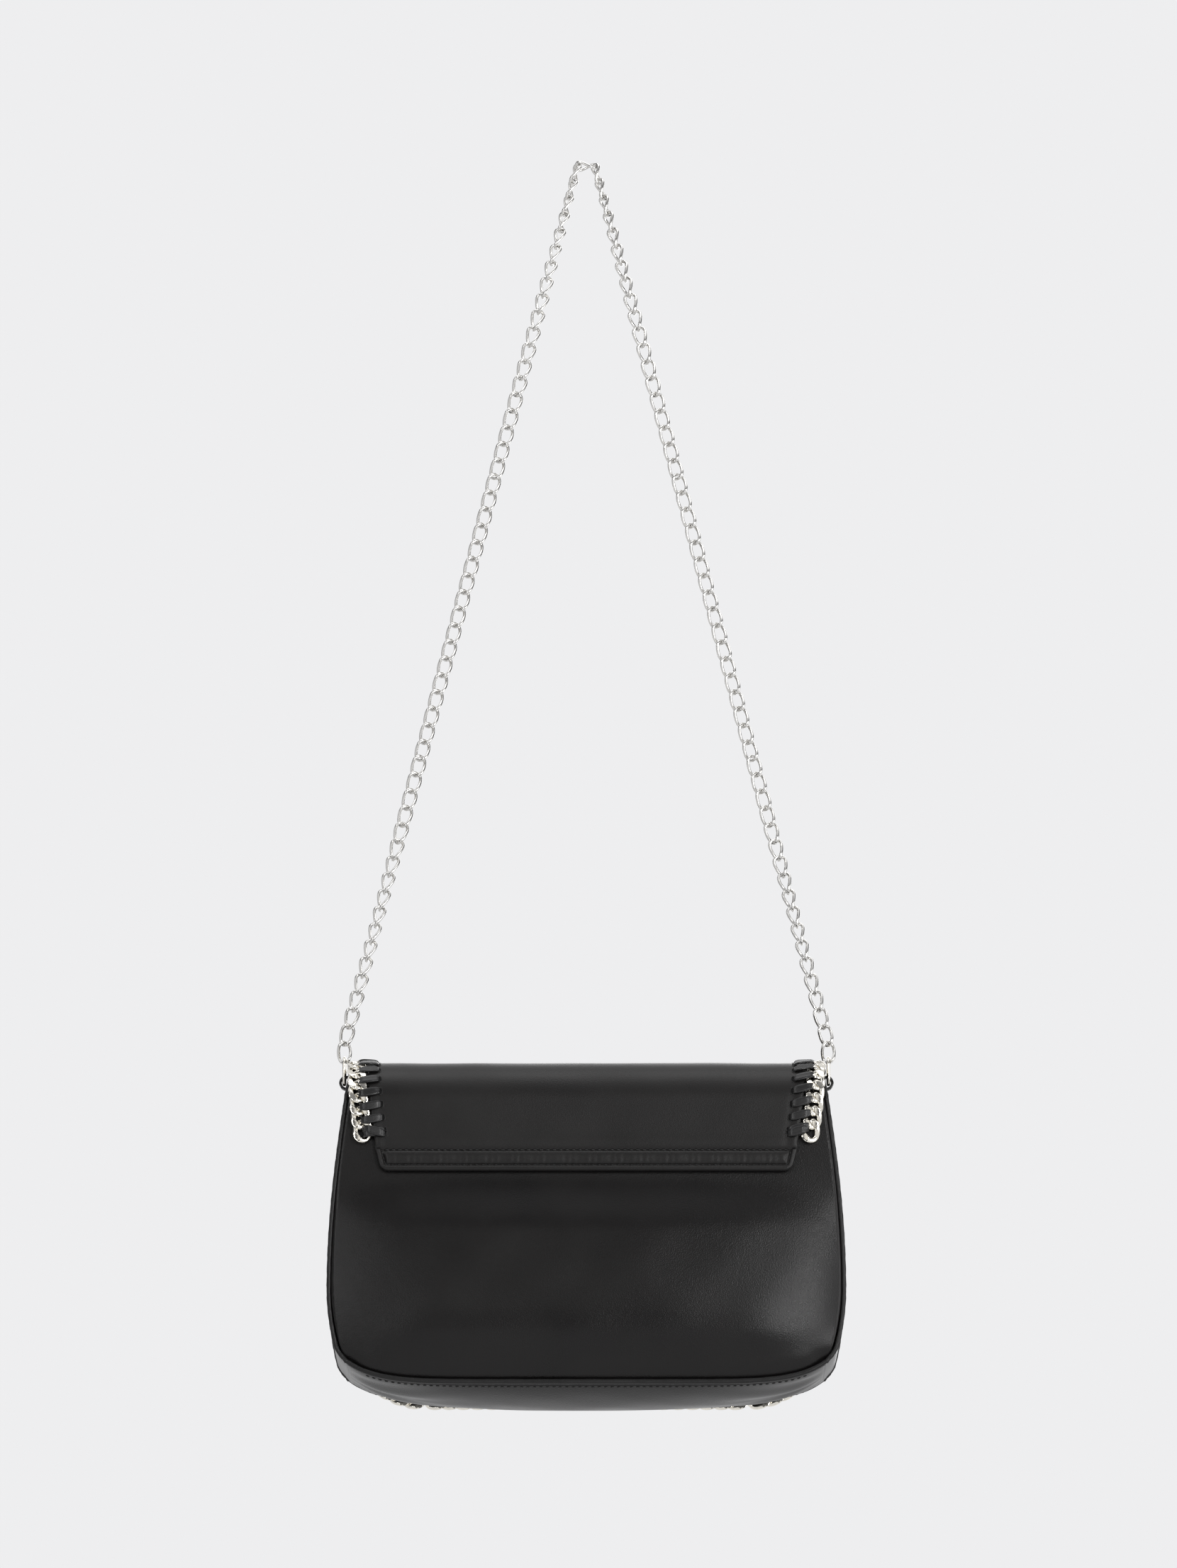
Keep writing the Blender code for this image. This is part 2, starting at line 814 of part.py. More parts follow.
def edge_frame(place, distance, out=0.0, rise=0.0):
    """A frame at the flap's edge: y looks out of the flap and z off its outer face."""
    point, up = place(distance, out)
    across = place(distance, out + nudge)[0] - point
    ahead = place(distance + nudge, out)[0] - point
    normal = ahead.cross(across).normalized()
    if normal.dot(up) < 0:
        normal = -normal
    return frame_at(point + normal * rise, across.cross(normal), across)


def trim_centres(place, length):
    """Distances of the links' centres, spaced evenly along the chain's own middle line."""
    centre_out = trim_gap + trim_width / 2
    stops = even_shares(trim_stops, 0, length)
    spots = [place(stop, centre_out)[0] for stop in stops]
    travelled = [0]
    for spot, after in zip(spots, spots[1:]):
        travelled.append(travelled[-1] + (after - spot).length)
    room = travelled[-1] - 2 * (trim_wire_width + clear)
    count = round(room / trim_pitch)
    pitch = room / count
    centres = [trim_wire_width + clear + (k + 1 / 2) * pitch for k in range(count)]
    return [float(d) for d in interp(centres, travelled, stops)], (pitch + trim_wire_width - trim_link_grip) / 2


def make_edge(name, path, steel, leather, axis):
    """One stretch of edge chain and the lace that whips it on, a wrap to each link."""
    place, length = path
    centres, half_length = trim_centres(place, length)
    section = diamond(trim_wire_width / 2, trim_wire_height / 2)
    half_width = (trim_width - trim_wire_width) / 2
    link = (half_length, half_width, trim_link_lift, section, link_points)
    links = [edge_frame(place, d, trim_gap + trim_width / 2, -flap_thickness / 2) for d in centres]
    add_chain("edge_chain_" + name, links, link, axis, bag_origin, steel)

    near = clear
    far = clear + lace_thickness
    outline = (
        (-lace_hole_inset, far),
        (lace_reach + lace_thickness, far + lace_rise),
        (lace_reach + lace_thickness, -flap_thickness - far - lace_dip),
        (-lace_hole_inset, -flap_thickness - far),
        (-lace_hole_inset, -flap_thickness - near),
        (lace_reach, -flap_thickness - near - lace_dip),
        (lace_reach, near + lace_rise),
        (-lace_hole_inset, near),
    )
    wraps = bmesh.new()
    for d in centres:
        prism(wraps, outline, edge_frame(place, d), lace_width / 2)
    made = add_mesh("lace_" + name, wraps, axis, bag_origin, leather)
    under = -flap_thickness - (near + far) / 2
    inner = lace_run_width - lace_hole_inset
    outer = 2 * lace_run_width - lace_hole_inset
    low, high = under - lace_run_thickness / 2, under + lace_run_thickness / 2
    run = bmesh.new()
    steps = ceil(length / trim_pitch)
    frames = [edge_frame(place, d) for d in even_shares(steps, centres[0], centres[-1])]
    sweep(run, frames, ((inner, low), (outer, low), (outer, high), (inner, high)))
    join_with(made, add_mesh("lace_run_" + name, run, axis, bag_origin, None))


def make_edges(steel, leather, axes):
    back_low = -(bend_reach + trim_back_drop - flap_bend_radius)
    for side, word in ((-1, "left"), (1, "right")):
        back = side_path(side, back_low, fold_depth - clear)
        make_edge("back_" + word, back, steel, leather, axes["bag_body"])
        top = side_path(side, fold_depth + clear, bend_reach - clear)
        make_edge("top_" + word, top, steel, leather, axes["flap_top"])
        make_edge("front_" + word, front_path(side), steel, leather, axes["flap_front"])
    make_edge("front_bottom", bottom_path(), steel, leather, axes["flap_front"])


def make_axes():
    hinges = strand_layout()[1]
    axes = {"strap_top": make_axis("strap_top_axis", None, Vector())}
    chain = ("strap_top", "strap_upper", "strap_middle", "strap_lower")
    for above, below, place in zip(chain, chain[1:], hinges):
        axes[below] = make_axis(below + "_axis", axes[above], Vector((0, 0, place.z)))
    bag = bag_origin + Vector((0, hang_depth, -connector_axis_depth))
    axes["bag_body"] = make_axis("bag_body_axis", axes["strap_lower"], bag)
    fold = bag_origin + Vector((0, fold_depth, fold_axis_rise))
    axes["flap_top"] = make_axis("flap_top_axis", axes["bag_body"], fold)
    lift = bag_origin + Vector((0, flap_half_depth + fold_axis_rise, -flap_bend_radius))
    axes["flap_front"] = make_axis("flap_front_axis", axes["flap_top"], lift)
    for name, axis in axes.items():
        print(name, [round(value, 5) for value in axis["rest_place"]])
    return axes


def main():
    clear_scene()
    leather = make_material("black_leather", (0.018, 0.017, 0.017), 0.5, 0)
    edging = make_material("black_piping", (0.012, 0.012, 0.012), 0.4, 0)
    lace = make_material("black_lace", (0.015, 0.015, 0.015), 0.45, 0)
    cloth = make_material("black_lining", (0.03, 0.03, 0.03), 0.85, 0)
    silver = make_material("silver_chain", (0.72, 0.72, 0.72), 0.18, 1)
    nickel = make_material("pale_nickel", (0.80, 0.78, 0.72), 0.2, 1)
    axes = make_axes()
    bag = axes["bag_body"]
    make_strap(silver, axes)
    make_connectors(silver, axes)
    make_tabs(leather, bag)
    make_panels(leather, bag)
    make_gussets(leather, bag)
    make_piping(edging, bag)
    make_lining(cloth, bag)
    make_flap(leather, cloth, axes)
    make_band(leather, bag)
    make_snap(nickel, axes)
    make_edges(nickel, lace, axes)


main()
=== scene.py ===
"""A small black leather shoulder bag on its chain strap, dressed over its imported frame.

Metres, +Z up. The origin is the point where the peg carries the strap, and the bag's back faces -Y.
The bag's own pieces are laid out from the middle of the flap's top surface, as the frame's are.
"""

from math import cos, exp, pi, sin, sqrt

import bmesh
import bpy
import numpy as np
from mathutils import Matrix, Vector


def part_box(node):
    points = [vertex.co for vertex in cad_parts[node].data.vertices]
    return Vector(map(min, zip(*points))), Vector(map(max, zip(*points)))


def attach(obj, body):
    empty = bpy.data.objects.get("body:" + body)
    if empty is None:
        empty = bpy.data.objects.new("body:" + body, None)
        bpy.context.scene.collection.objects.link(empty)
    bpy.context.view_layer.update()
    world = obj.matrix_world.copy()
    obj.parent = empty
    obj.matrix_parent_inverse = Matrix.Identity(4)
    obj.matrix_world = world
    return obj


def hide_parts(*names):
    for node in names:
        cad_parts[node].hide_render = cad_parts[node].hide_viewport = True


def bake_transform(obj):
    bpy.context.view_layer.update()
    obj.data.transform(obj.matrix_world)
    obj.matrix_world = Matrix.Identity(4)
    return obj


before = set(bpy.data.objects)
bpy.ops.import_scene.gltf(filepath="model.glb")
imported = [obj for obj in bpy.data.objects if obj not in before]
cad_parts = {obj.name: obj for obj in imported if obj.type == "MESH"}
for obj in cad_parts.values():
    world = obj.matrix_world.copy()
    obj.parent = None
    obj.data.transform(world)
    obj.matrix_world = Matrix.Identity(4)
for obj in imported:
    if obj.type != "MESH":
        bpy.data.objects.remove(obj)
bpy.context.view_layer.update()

# Sizes shared with the frame

clear = 0.0003
swivel_clear = 0.0005
strap_drop = 0.4527
strap_wire = 0.0016
strap_link_pitch = 0.0086
strap_link_width = 0.0074
strap_link_lift = 0.0015
strap_upper_share = 0.35
strap_middle_share = 0.67
untwist_share = 0.3
retwist_share = 0.72
lower_twist = 0.9
corner_share = 1.12
connector_x = 0.1171
connector_wire = 0.0016
connector_width = 0.0083
connector_length = 0.0143
connector_axis_depth = 0.0035
tab_thickness = 0.0012
tab_width = 0.0038
tab_tail_depth = 0.0172
hang_depth = 0.0055
body_depth = 0.060
mouth_half_width = 0.1140
belly_half_width = 0.1245
hem_half_width = 0.1190
corner_half_width = 0.1155
belly_drop = 0.1120
hem_drop = 0.1464
corner_drop = 0.1491
hem_sag = 0.0094
hem_power = 8
back_taper_power = 3
mouth_drop = 0.0063
gusset_top_drop = 0.0030
panel_thickness = 0.0018
panel_crown = 0.0012
gusset_thickness = 0.0014
gusset_fold = 0.0070
gusset_inset = 0.0006
bottom_sag = 0.0079
lining_thickness = 0.0008
lining_room = 0.0011
piping_radius = 0.0011
piping_inset = 0.0001
flap_thickness = 0.0016
flap_bend_radius = 0.0210
flap_half_width = 0.1055
flap_back_half_width = 0.1012
flap_front_half_width = 0.1080
flap_front_drop = 0.1519
flap_corner_radius = 0.0300
flap_crown = 0.0045
fold_depth = 0.0095
under_flap_room = 0.0020
trim_back_drop = 0.0415
band_top_drop = 0.0457
band_drop = 0.0560
flap_lining_inset = 0.0090
flap_lining_thickness = 0.0008
snap_radius = 0.0070
trim_pitch = 0.0068
trim_width = 0.0094
trim_margin = 0.0019
trim_gap = 0.0006
lace_hole_inset = 0.0050
nudge = 0.0001
layout_passes = 4
trim_stops = 60
level_share = 0.55

half_depth = body_depth / 2
body_offset = flap_thickness + under_flap_room
flap_half_depth = half_depth + body_offset
bend_centre = flap_half_depth - flap_bend_radius
body_bend_radius = flap_bend_radius - body_offset
quarter_bend = flap_bend_radius * pi / 2
bend_reach = bend_centre + quarter_bend
front_reach = bend_reach + flap_front_drop - flap_bend_radius
back_reach = -(bend_reach + band_top_drop - flap_bend_radius)
corner_reach = front_reach - flap_corner_radius
connector_bend = (connector_width - connector_wire) / 2
seam_width = 2 * piping_radius + piping_inset + clear
bag_origin = Vector((0, -hang_depth, -strap_drop))
inside_bag = bag_origin + Vector((0, 0, -0.08))
forward = Vector((0, 1, 0))
rightward = Vector((1, 0, 0))
hands = ((-1, "left"), (1, "right"))
walls = ((-1, "back"), (1, "front"))

# Sizes of the finer forms

strap_link_power = 2.2
link_sway = 0.035
trim_link_power = 2.15
trim_wire = 0.0028
trim_wire_squeeze = 0.78
trim_apart = 0.0022
trim_cut = 0.00042
lace_half_width = 0.00205
lace_half_thickness = 0.00052
connector_bar = 0.0018
band_corner_radius = 0.0036
band_side_draw = 0.0026
thread_radius = 0.00026
stitch_pitch = 0.0031
stitch_length = 0.0021
back_swell = 0.0042
back_fullness = 0.0030
hem_roll = 0.0027
band_roll = 0.0029
hem_roll_height = 0.0085
corner_fall = 0.0008
corner_start_drop = 0.1400
corner_draw_in = 0.0045
tab_seam_drop = 0.0108
drag_x, drag_z, drag_reach, drag_depth = 0.112, -0.143, 0.034, 0.00055
pinch_x, pinch_z, pinch_reach, pinch_depth = 0.1130, -0.1470, 0.0050, 0.0013
hem_seam_inset = 0.0016
hem_thread = thread_radius * 1.1
band_thread = thread_radius * 1.4
tab_thread = thread_radius * 0.8
band_seam_inset = band_roll + 0.0001
band_end_margin = 0.004
hole_inset = 0.0056
last_wrap_shift = -0.0016
last_wrap_lift = 0.0005
last_wrap_lean = 0.0022

# The stage

floor_reach = 6.0
floor_drop = 1.6
floor_tone = (0.20, 0.20, 0.20, 1)
floor_glow = 0.66
pale = (0.855, 0.855, 0.865)
dark = (0.05, 0.05, 0.052)
unlit_end = (0.10, 0.10, 0.105, 1)
window = (1.0, 0.99, 0.97, 1)
window_way = (0.0, -0.978, 0.208)
ambient_strength = 0.36
view_way = (0, 0.978, 0.208)
view_target = (0.00102, 0, -0.31085)
view_distance = 5.0


# Materials


def new_material(name):
    made = bpy.data.materials.new(name)
    made.use_nodes = True
    return made, made.node_tree, made.node_tree.nodes["Principled BSDF"]


def fill(tree, node, inputs):
    """Sets a node's inputs, each to a value or to another node's output."""
    for key, value in inputs.items():
        if hasattr(value, "is_output"):
            tree.links.new(value, node.inputs[key])
        else:
            node.inputs[key].default_value = value


def add_node(tree, kind, inputs, output=0, **settings):
    """A new shader node, filled in. Gives one of its outputs."""
    node = tree.nodes.new("ShaderNode" + kind)
    for key, value in settings.items():
        setattr(node, key, value)
    fill(tree, node, inputs)
    return node.outputs[output]


def ramp(tree, fac, stops):
    node = tree.nodes.new("ShaderNodeValToRGB")
    fill(tree, node, {"Fac": fac})
    elements = node.color_ramp.elements
    while len(elements) < len(stops):
        elements.new(0.5)
    for element, (position, color) in zip(elements, stops):
        element.position = position
        element.color = (*color, 1)
    return node.outputs["Color"]


def span(tree, value, low, high, from_low=0.0, from_high=1.0):
    inputs = {"Value": value, "From Min": from_low, "From Max": from_high, "To Min": low, "To Max": high}
    return add_node(tree, "MapRange", inputs)


def place_in(tree, scale=(1, 1, 1)):
    coords = add_node(tree, "TexCoord", {}, "Object")
    return add_node(tree, "Mapping", {"Vector": coords, "Scale": scale})


def noise(tree, vector, scale, detail, rough=0.5, output="Fac"):
    inputs = {"Vector": vector, "Scale": scale, "Detail": detail, "Roughness": rough}
    return add_node(tree, "TexNoise", inputs, output)


def waves(tree, vector, scale, distortion, detail, direction):
    inputs = {"Vector": vector, "Scale": scale, "Distortion": distortion, "Detail": detail}
    return add_node(tree, "TexWave", inputs, "Fac", wave_type="BANDS", bands_direction=direction)


def combine(tree, operation, a, b):
    return add_node(tree, "Math", {0: a, 1: b}, operation=operation)


def bump(tree, height, strength, distance, after=None):
    inputs = {"Height": height, "Strength": strength, "Distance": distance}
    if after is not None:
        inputs["Normal"] = after
    return add_node(tree, "Bump", inputs)


def leather_material(name, dark, light, rough, grain=1400.0, depth=0.00006, crease=0.3, shine=0.30):
    """Smooth calf: fine pebbles, faint creases, and a finish that is a little uneven."""
    made, tree, shader = new_material(name)
    spot = place_in(tree)
    warp = noise(tree, spot, 260.0, 2.0, output="Color")
    shift = add_node(tree, "VectorMath", {0: warp, 1: (0.0009,) * 3}, operation="MULTIPLY")
    moved = add_node(tree, "VectorMath", {0: spot, 1: shift}, operation="ADD")
    cells = {"Vector": moved, "Scale": grain, "Smoothness": 0.35}
    pebble = add_node(tree, "TexVoronoi", cells, "Distance", feature="SMOOTH_F1")
    fine = noise(tree, spot, 2600.0, 2.0)
    patch = noise(tree, spot, 26.0, 3.0)
    wide = noise(tree, spot, 9.0, 2.0)
    folds = noise(tree, place_in(tree, (60, 60, 210)), 1.0, 4.0, 0.6)
    uneven = combine(tree, "ADD", patch, combine(tree, "MULTIPLY", pebble, 0.35))
    # The grain shows more in some places than in others, as on a finished hide.
    pebbled = combine(tree, "MULTIPLY", pebble, span(tree, wide, 0.35, 1.0, 0.35, 0.65))
    mixed = combine(tree, "ADD", pebbled, combine(tree, "MULTIPLY", fine, 0.25))
    inputs = {
        "Base Color": ramp(tree, patch, ((0.3, dark), (0.75, light))),
        "Roughness": span(tree, uneven, *rough, 0.35, 0.95),
        "Specular IOR Level": shine,
        "Sheen Weight": 0.02,
        "Normal": bump(tree, mixed, 0.28, depth * 4, bump(tree, folds, crease, 0.0004)),
    }
    fill(tree, shader, inputs)
    return made


def metal_material(name, color, rough):
    """Plated steel: bright, with fine polishing lines and a few dull spots."""
    made, tree, shader = new_material(name)
    dull = noise(tree, place_in(tree), 420.0, 4.0, 0.6)
    lines = noise(tree, place_in(tree, (900, 900, 5200)), 1.0, 3.0, 0.6)
    darker = tuple(value * 0.9 for value in color)
    inputs = {
        "Base Color": ramp(tree, dull, ((0.35, darker), (0.6, color))),
        "Roughness": span(tree, dull, *rough, 0.35, 0.75),
        "Metallic": 1,
        "Normal": bump(tree, lines, 0.10, 0.00004),
    }
    fill(tree, shader, inputs)
    return made


def cloth_material(name, dark, light, threads_per_metre):
    """A plain weave: two sets of threads that pass over and under each other."""
    made, tree, shader = new_material(name)
    spot = place_in(tree)
    sets = [waves(tree, spot, threads_per_metre / 6.3, 0.6, 1.0, direction) for direction in ("X", "Z")]
    weave = combine(tree, "MAXIMUM", *sets)
    slub = noise(tree, place_in(tree, (40, 40, 900)), 1.0, 3.0)
    shade = combine(tree, "MULTIPLY", weave, span(tree, slub, 0.6, 1.0))
    inputs = {
        "Base Color": ramp(tree, shade, ((0.2, dark), (0.9, light))),
        "Roughness": span(tree, slub, 0.74, 0.92),
        "Specular IOR Level": 0.2,
        "Sheen Weight": 0.15,
        "Normal": bump(tree, weave, 0.5, 0.00012),
    }
    fill(tree, shader, inputs)
    return made


def thread_material(name, dark, light):
    made, tree, shader = new_material(name)
    twist = waves(tree, place_in(tree), 620.0, 1.5, 2.0, "DIAGONAL")
    inputs = {
        "Base Color": ramp(tree, twist, ((0.2, dark), (0.8, light))),
        "Roughness": span(tree, twist, 0.45, 0.7),
        "Normal": bump(tree, twist, 0.5, 0.0001),
    }
    fill(tree, shader, inputs)
    return made


leather = leather_material(
    "calf_leather", (0.0046, 0.0041, 0.0042), (0.0070, 0.0063, 0.0063), (0.26, 0.35),
    grain=1650.0, depth=0.00006, crease=0.10, shine=0.27,
)
smooth_leather = leather_material(
    "flap_leather", (0.0056, 0.0050, 0.0048), (0.0080, 0.0072, 0.0070), (0.34, 0.46),
    grain=1700.0, depth=0.00004, crease=0.12, shine=0.30,
)
edge_leather = leather_material(
    "edge_leather", (0.0055, 0.0052, 0.0053), (0.0085, 0.0080, 0.0082), (0.28, 0.44),
    grain=1900.0, depth=0.00004, crease=0.4, shine=0.34,
)
lace_leather = leather_material(
    "lace_leather", (0.0060, 0.0058, 0.0062), (0.0105, 0.0100, 0.0102), (0.26, 0.40),
    grain=1500.0, depth=0.00003, crease=0.25, shine=0.50,
)
# Near-black and rough: painted shade that stands for the depth inside each lace hole.
hole_painted_shade = leather_material("hole_painted_shade", (0.001, 0.001, 0.001), (0.002, 0.002, 0.002), (0.8, 0.95))
silver = metal_material("silver_plate", (0.72, 0.71, 0.69), (0.10, 0.22))
nickel = metal_material("pale_nickel_plate", (0.80, 0.77, 0.70), (0.08, 0.18))
lining_cloth = cloth_material("lining_weave", (0.010, 0.010, 0.011), (0.028, 0.028, 0.030), 1700.0)
thread = thread_material("black_thread", (0.0015, 0.0015, 0.0015), (0.006, 0.006, 0.006))


# Mesh helpers


def add_object(name, data):
    made = bpy.data.objects.new(name, data)
    bpy.context.scene.collection.objects.link(made)
    return made


def add_piece(
    name, form, material, body="bag_body", nodes=(), sharp=None, closed=True, materials=()
):
    """A mesh of the form's points and faces, which rides a body and stands for the nodes."""
    verts, faces = form
    data = bpy.data.meshes.new(name)
    data.from_pydata([tuple(v) for v in verts], [], [tuple(f) for f in faces])
    shape = bmesh.new()
    shape.from_mesh(data)
    if closed:
        bmesh.ops.recalc_face_normals(shape, faces=shape.faces)
    shape.to_mesh(data)
    shape.free()
    data.shade_smooth()
    if sharp is not None:
        data.set_sharp_from_angle(angle=sharp)
    for each in (material, *materials):
        data.materials.append(each)
    made = add_object(name, data)
    if body:
        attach(made, body)
    if nodes:
        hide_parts(*nodes)
    return made


def dress(node, ending, form, material, body="bag_body", sharp=None):
    """The finer form of one of the frame's nodes."""
    return add_piece(node + ending, form, material, body, (node,), sharp)


def at_bag(x, y, z):
    return bag_origin + Vector((x, y, z))


def ring_faces(count, size, closed=False):
    """Faces between rings of points that follow one another."""
    faces = []
    for i in range(count if closed else count - 1):
        j = (i + 1) % count
        for k in range(size):
            m = (k + 1) % size
            faces.append((i * size + k, i * size + m, j * size + m, j * size + k))
    return faces


def end_faces(count, size):
    return [tuple(range(size - 1, -1, -1)), tuple(range((count - 1) * size, count * size))]


def thick_sheet(outer, thickness, bulge=0.35, wrap=False, cut_row=None):
    """A sheet with a rounded rim, flush at cut_row. outer is a grid of points."""
    outer = np.asarray(outer, float)
    rows, cols = outer.shape[:2]
    across = np.roll(outer, -1, axis=1) - np.roll(outer, 1, axis=1) if wrap else np.gradient(outer, axis=1)
    normal = np.cross(across, np.gradient(outer, axis=0))
    length = np.linalg.norm(normal, axis=2, keepdims=True)
    normal = np.where(length > 1e-14, normal / np.maximum(length, 1e-14), 0)
    if (normal * (outer - np.asarray(inside_bag))).sum() < 0:
        normal = -normal
    inner = outer - normal * thickness
    verts = list(outer.reshape(-1, 3)) + list(inner.reshape(-1, 3))
    count = rows * cols
    faces = []
    for r in range(rows - 1):
        for c in range(cols if wrap else cols - 1):
            a, b = r * cols + c, r * cols + (c + 1) % cols
            face = (a, b, b + cols, a + cols)
            faces += [face, tuple(count + i for i in reversed(face))]
    first = [(0, c, 1, c) for c in range(cols)]
    if wrap:
        loops = [first, [(rows - 1, c, rows - 2, c) for c in range(cols)]]
    else:
        first += [(r, cols - 1, r, cols - 2) for r in range(1, rows)]
        first += [(rows - 1, c, rows - 2, c) for c in range(cols - 2, -1, -1)]
        first += [(r, 0, r, 1) for r in range(rows - 2, 0, -1)]
        loops = [first]
    for loop in loops:
        start = len(verts)
        for r, c, r2, c2 in loop:
            out = outer[r, c] - outer[r2, c2]
            size = np.linalg.norm(out)
            out = out / size if size > 1e-12 and r != cut_row else out * 0
            verts.append((outer[r, c] + inner[r, c]) / 2 + out * thickness * bulge)
        for i, (r, c, _, _) in enumerate(loop):
            j = (i + 1) % len(loop)
            a = r * cols + c
            b = loop[j][0] * cols + loop[j][1]
            faces.append((a, b, start + j, start + i))
            faces.append((start + i, start + j, count + b, count + a))
    return verts, faces


def frame_at(centre, along, across):
    x = along.normalized()
    z = x.cross(across).normalized()
    y = z.cross(x)
    made = Matrix((x, y, z)).transposed().to_4x4()
    made.translation = centre
    return made


def sweep(frames, sections, closed=False):
    """A solid whose section, as (across, normal) points, is carried along the frames."""
    verts = []
    for place, section in zip(frames, sections):
        verts += [place @ Vector((0, a, n)) for a, n in section]
    count, size = len(frames), len(sections[0])
    faces = ring_faces(count, size, closed)
    return verts, faces if closed else faces + end_faces(count, size)


def ellipse(a, b, sides):
    return [(a * cos(2 * pi * k / sides), b * sin(2 * pi * k / sides)) for k in range(sides)]


def path_frames(points, across):
    frames = []
    for i, spot in enumerate(points):
        along = points[min(i + 1, len(points) - 1)] - points[max(i - 1, 0)]
        frames.append(frame_at(spot, along, across))
    return frames


def join_shapes(forms):
    verts = []
    faces = []
    for more_verts, more_faces in forms:
        base = len(verts)
        verts += list(more_verts)
        faces += [tuple(base + i for i in face) for face in more_faces]
    return verts, faces


def travel(points):
    """How far along a line each of its points lies."""
    return np.concatenate(([0], np.cumsum(np.linalg.norm(np.diff(points, axis=0), axis=1))))


def smoothstep(low, high, value):
    share = min(max((value - low) / (high - low), 0.0), 1.0)
    return share * share * (3 - 2 * share)


def ripple(x, z, seed):
    """A gentle unevenness in a hide, between -1 and 1."""
    total = sin(43 * x + 61 * z + seed) + 0.7 * sin(71 * x - 38 * z + 2.1 * seed + 1)
    total += 0.5 * sin(118 * x + 97 * z + 0.7 * seed + 2) + 0.4 * sin(-157 * x + 141 * z + seed * 1.7)
    return total / 2.6


# Chain links


def link_curve(half_length, half_width, lift, power, count):
    angles = np.linspace(0, 2 * pi, 721)
    c, s = np.cos(angles), np.sin(angles)
    x = half_length * np.sign(c) * np.abs(c) ** (2 / power)
    y = half_width * np.sign(s) * np.abs(s) ** (2 / power)
    z = lift * np.sin(2 * angles)
    curve = np.stack((x, y, z), axis=1)
    travelled = travel(curve)
    stops = np.linspace(0, travelled[-1], count + 1)[:-1]
    return np.stack([np.interp(stops, travelled, curve[:, k]) for k in range(3)], axis=1)


def clearing_lift(half_length, half_width, pitch, apart, power):
    """The least rise and fall of a link's wire at which it passes its neighbour's."""
    best = 0.0
    for step in range(5, 60):
        best = step * apart / 40
        curve = link_curve(half_length, half_width, best, power, 160)
        other = curve + np.array((pitch, 0, 0))
        gaps = np.linalg.norm(curve[:, None, :] - other[None, :, :], axis=2)
        if gaps.min() > 0.965 * apart:
            break
    return best


def link_shape(half_length, half_width, lift, radius, power, points, sides, flat=None, squeeze=1.0):
    """Rings of a single link. flat cuts its high places level, as a diamond-cut link is cut."""
    curve = link_curve(half_length, half_width, lift, power, points)
    ahead = np.roll(curve, -1, axis=0) - np.roll(curve, 1, axis=0)
    ahead /= np.linalg.norm(ahead, axis=1, keepdims=True)
    side = np.cross(ahead, np.array((0, 0, 1.0)))
    side /= np.linalg.norm(side, axis=1, keepdims=True)
    up = np.cross(side, ahead)
    rings = []
    for k in range(sides):
        angle = 2 * pi * (k + 0.5) / sides
        rings.append(curve + side * radius * cos(angle) + up * radius * squeeze * sin(angle))
    verts = np.stack(rings, axis=1)
    if flat is not None:
        limit = flat - 0.22 * flat * (verts[:, :, 1] / (half_width + radius)) ** 2
        verts[:, :, 2] = np.clip(verts[:, :, 2], -limit, limit)
    return verts.reshape(-1, 3)


def chain_shape(places, base, points, sides):
    """The base link's rings of points, set in each of the places."""
    forms = []
    for place in places:
        matrix = np.array(place)
        moved = base @ matrix[:3, :3].T + matrix[:3, 3]
        forms.append((moved, ring_faces(points, sides, closed=True)))
    return join_shapes(forms)


# Strap


def link_twist(share):
    above = max(1 - share / untwist_share, 0)
    below = max(share - retwist_share, 0) / (1 - retwist_share)
    return pi / 2 * above + lower_twist * sin(pi * below)


def strand_layout():
    first_hook = Vector((strap_link_pitch / 2, 0, strap_wire / 2))
    hook_room = (strap_wire + connector_wire) / 2 * corner_share + clear
    hook_height = connector_length - connector_width + connector_bend
    hook_height -= connector_axis_depth + hook_room
    last_hook = Vector((connector_x, 0, hook_height - strap_drop))
    fused = strap_wire
    loose = strap_wire + swivel_clear
    down = Vector((0, 0, -1))
    run = last_hook - first_hook
    count = round(run.length / strap_link_pitch)
    ends = (1, round(count * strap_upper_share), round(count * strap_middle_share), count)
    swivels = len(ends) - 1
    pitch = strap_link_pitch
    for _ in range(layout_passes):
        run = last_hook - down * (pitch + fused / 2) - first_hook
        pitch = (run.length + swivels * (loose - fused)) / (count - 1)
    along = run.normalized()
    half_length = (pitch + fused) / 2
    stretches = []
    reach = pitch / 2
    first = 0
    for end in ends:
        stretch = []
        for k in range(first, end):
            way, centre = along, first_hook + along * reach
            if k == count - 1:
                way, centre = down, last_hook - down * half_length
            across = Matrix.Rotation(link_twist(k / (count - 1)), 3, way) @ forward.cross(way)
            stretch.append(frame_at(centre, way, across))
            reach += pitch
        stretches.append(stretch)
        reach -= loose - fused
        first = end
    return stretches, half_length


def turned(places):
    half_turn = Matrix.Rotation(pi, 4, "Z")
    return [half_turn @ place for place in places]


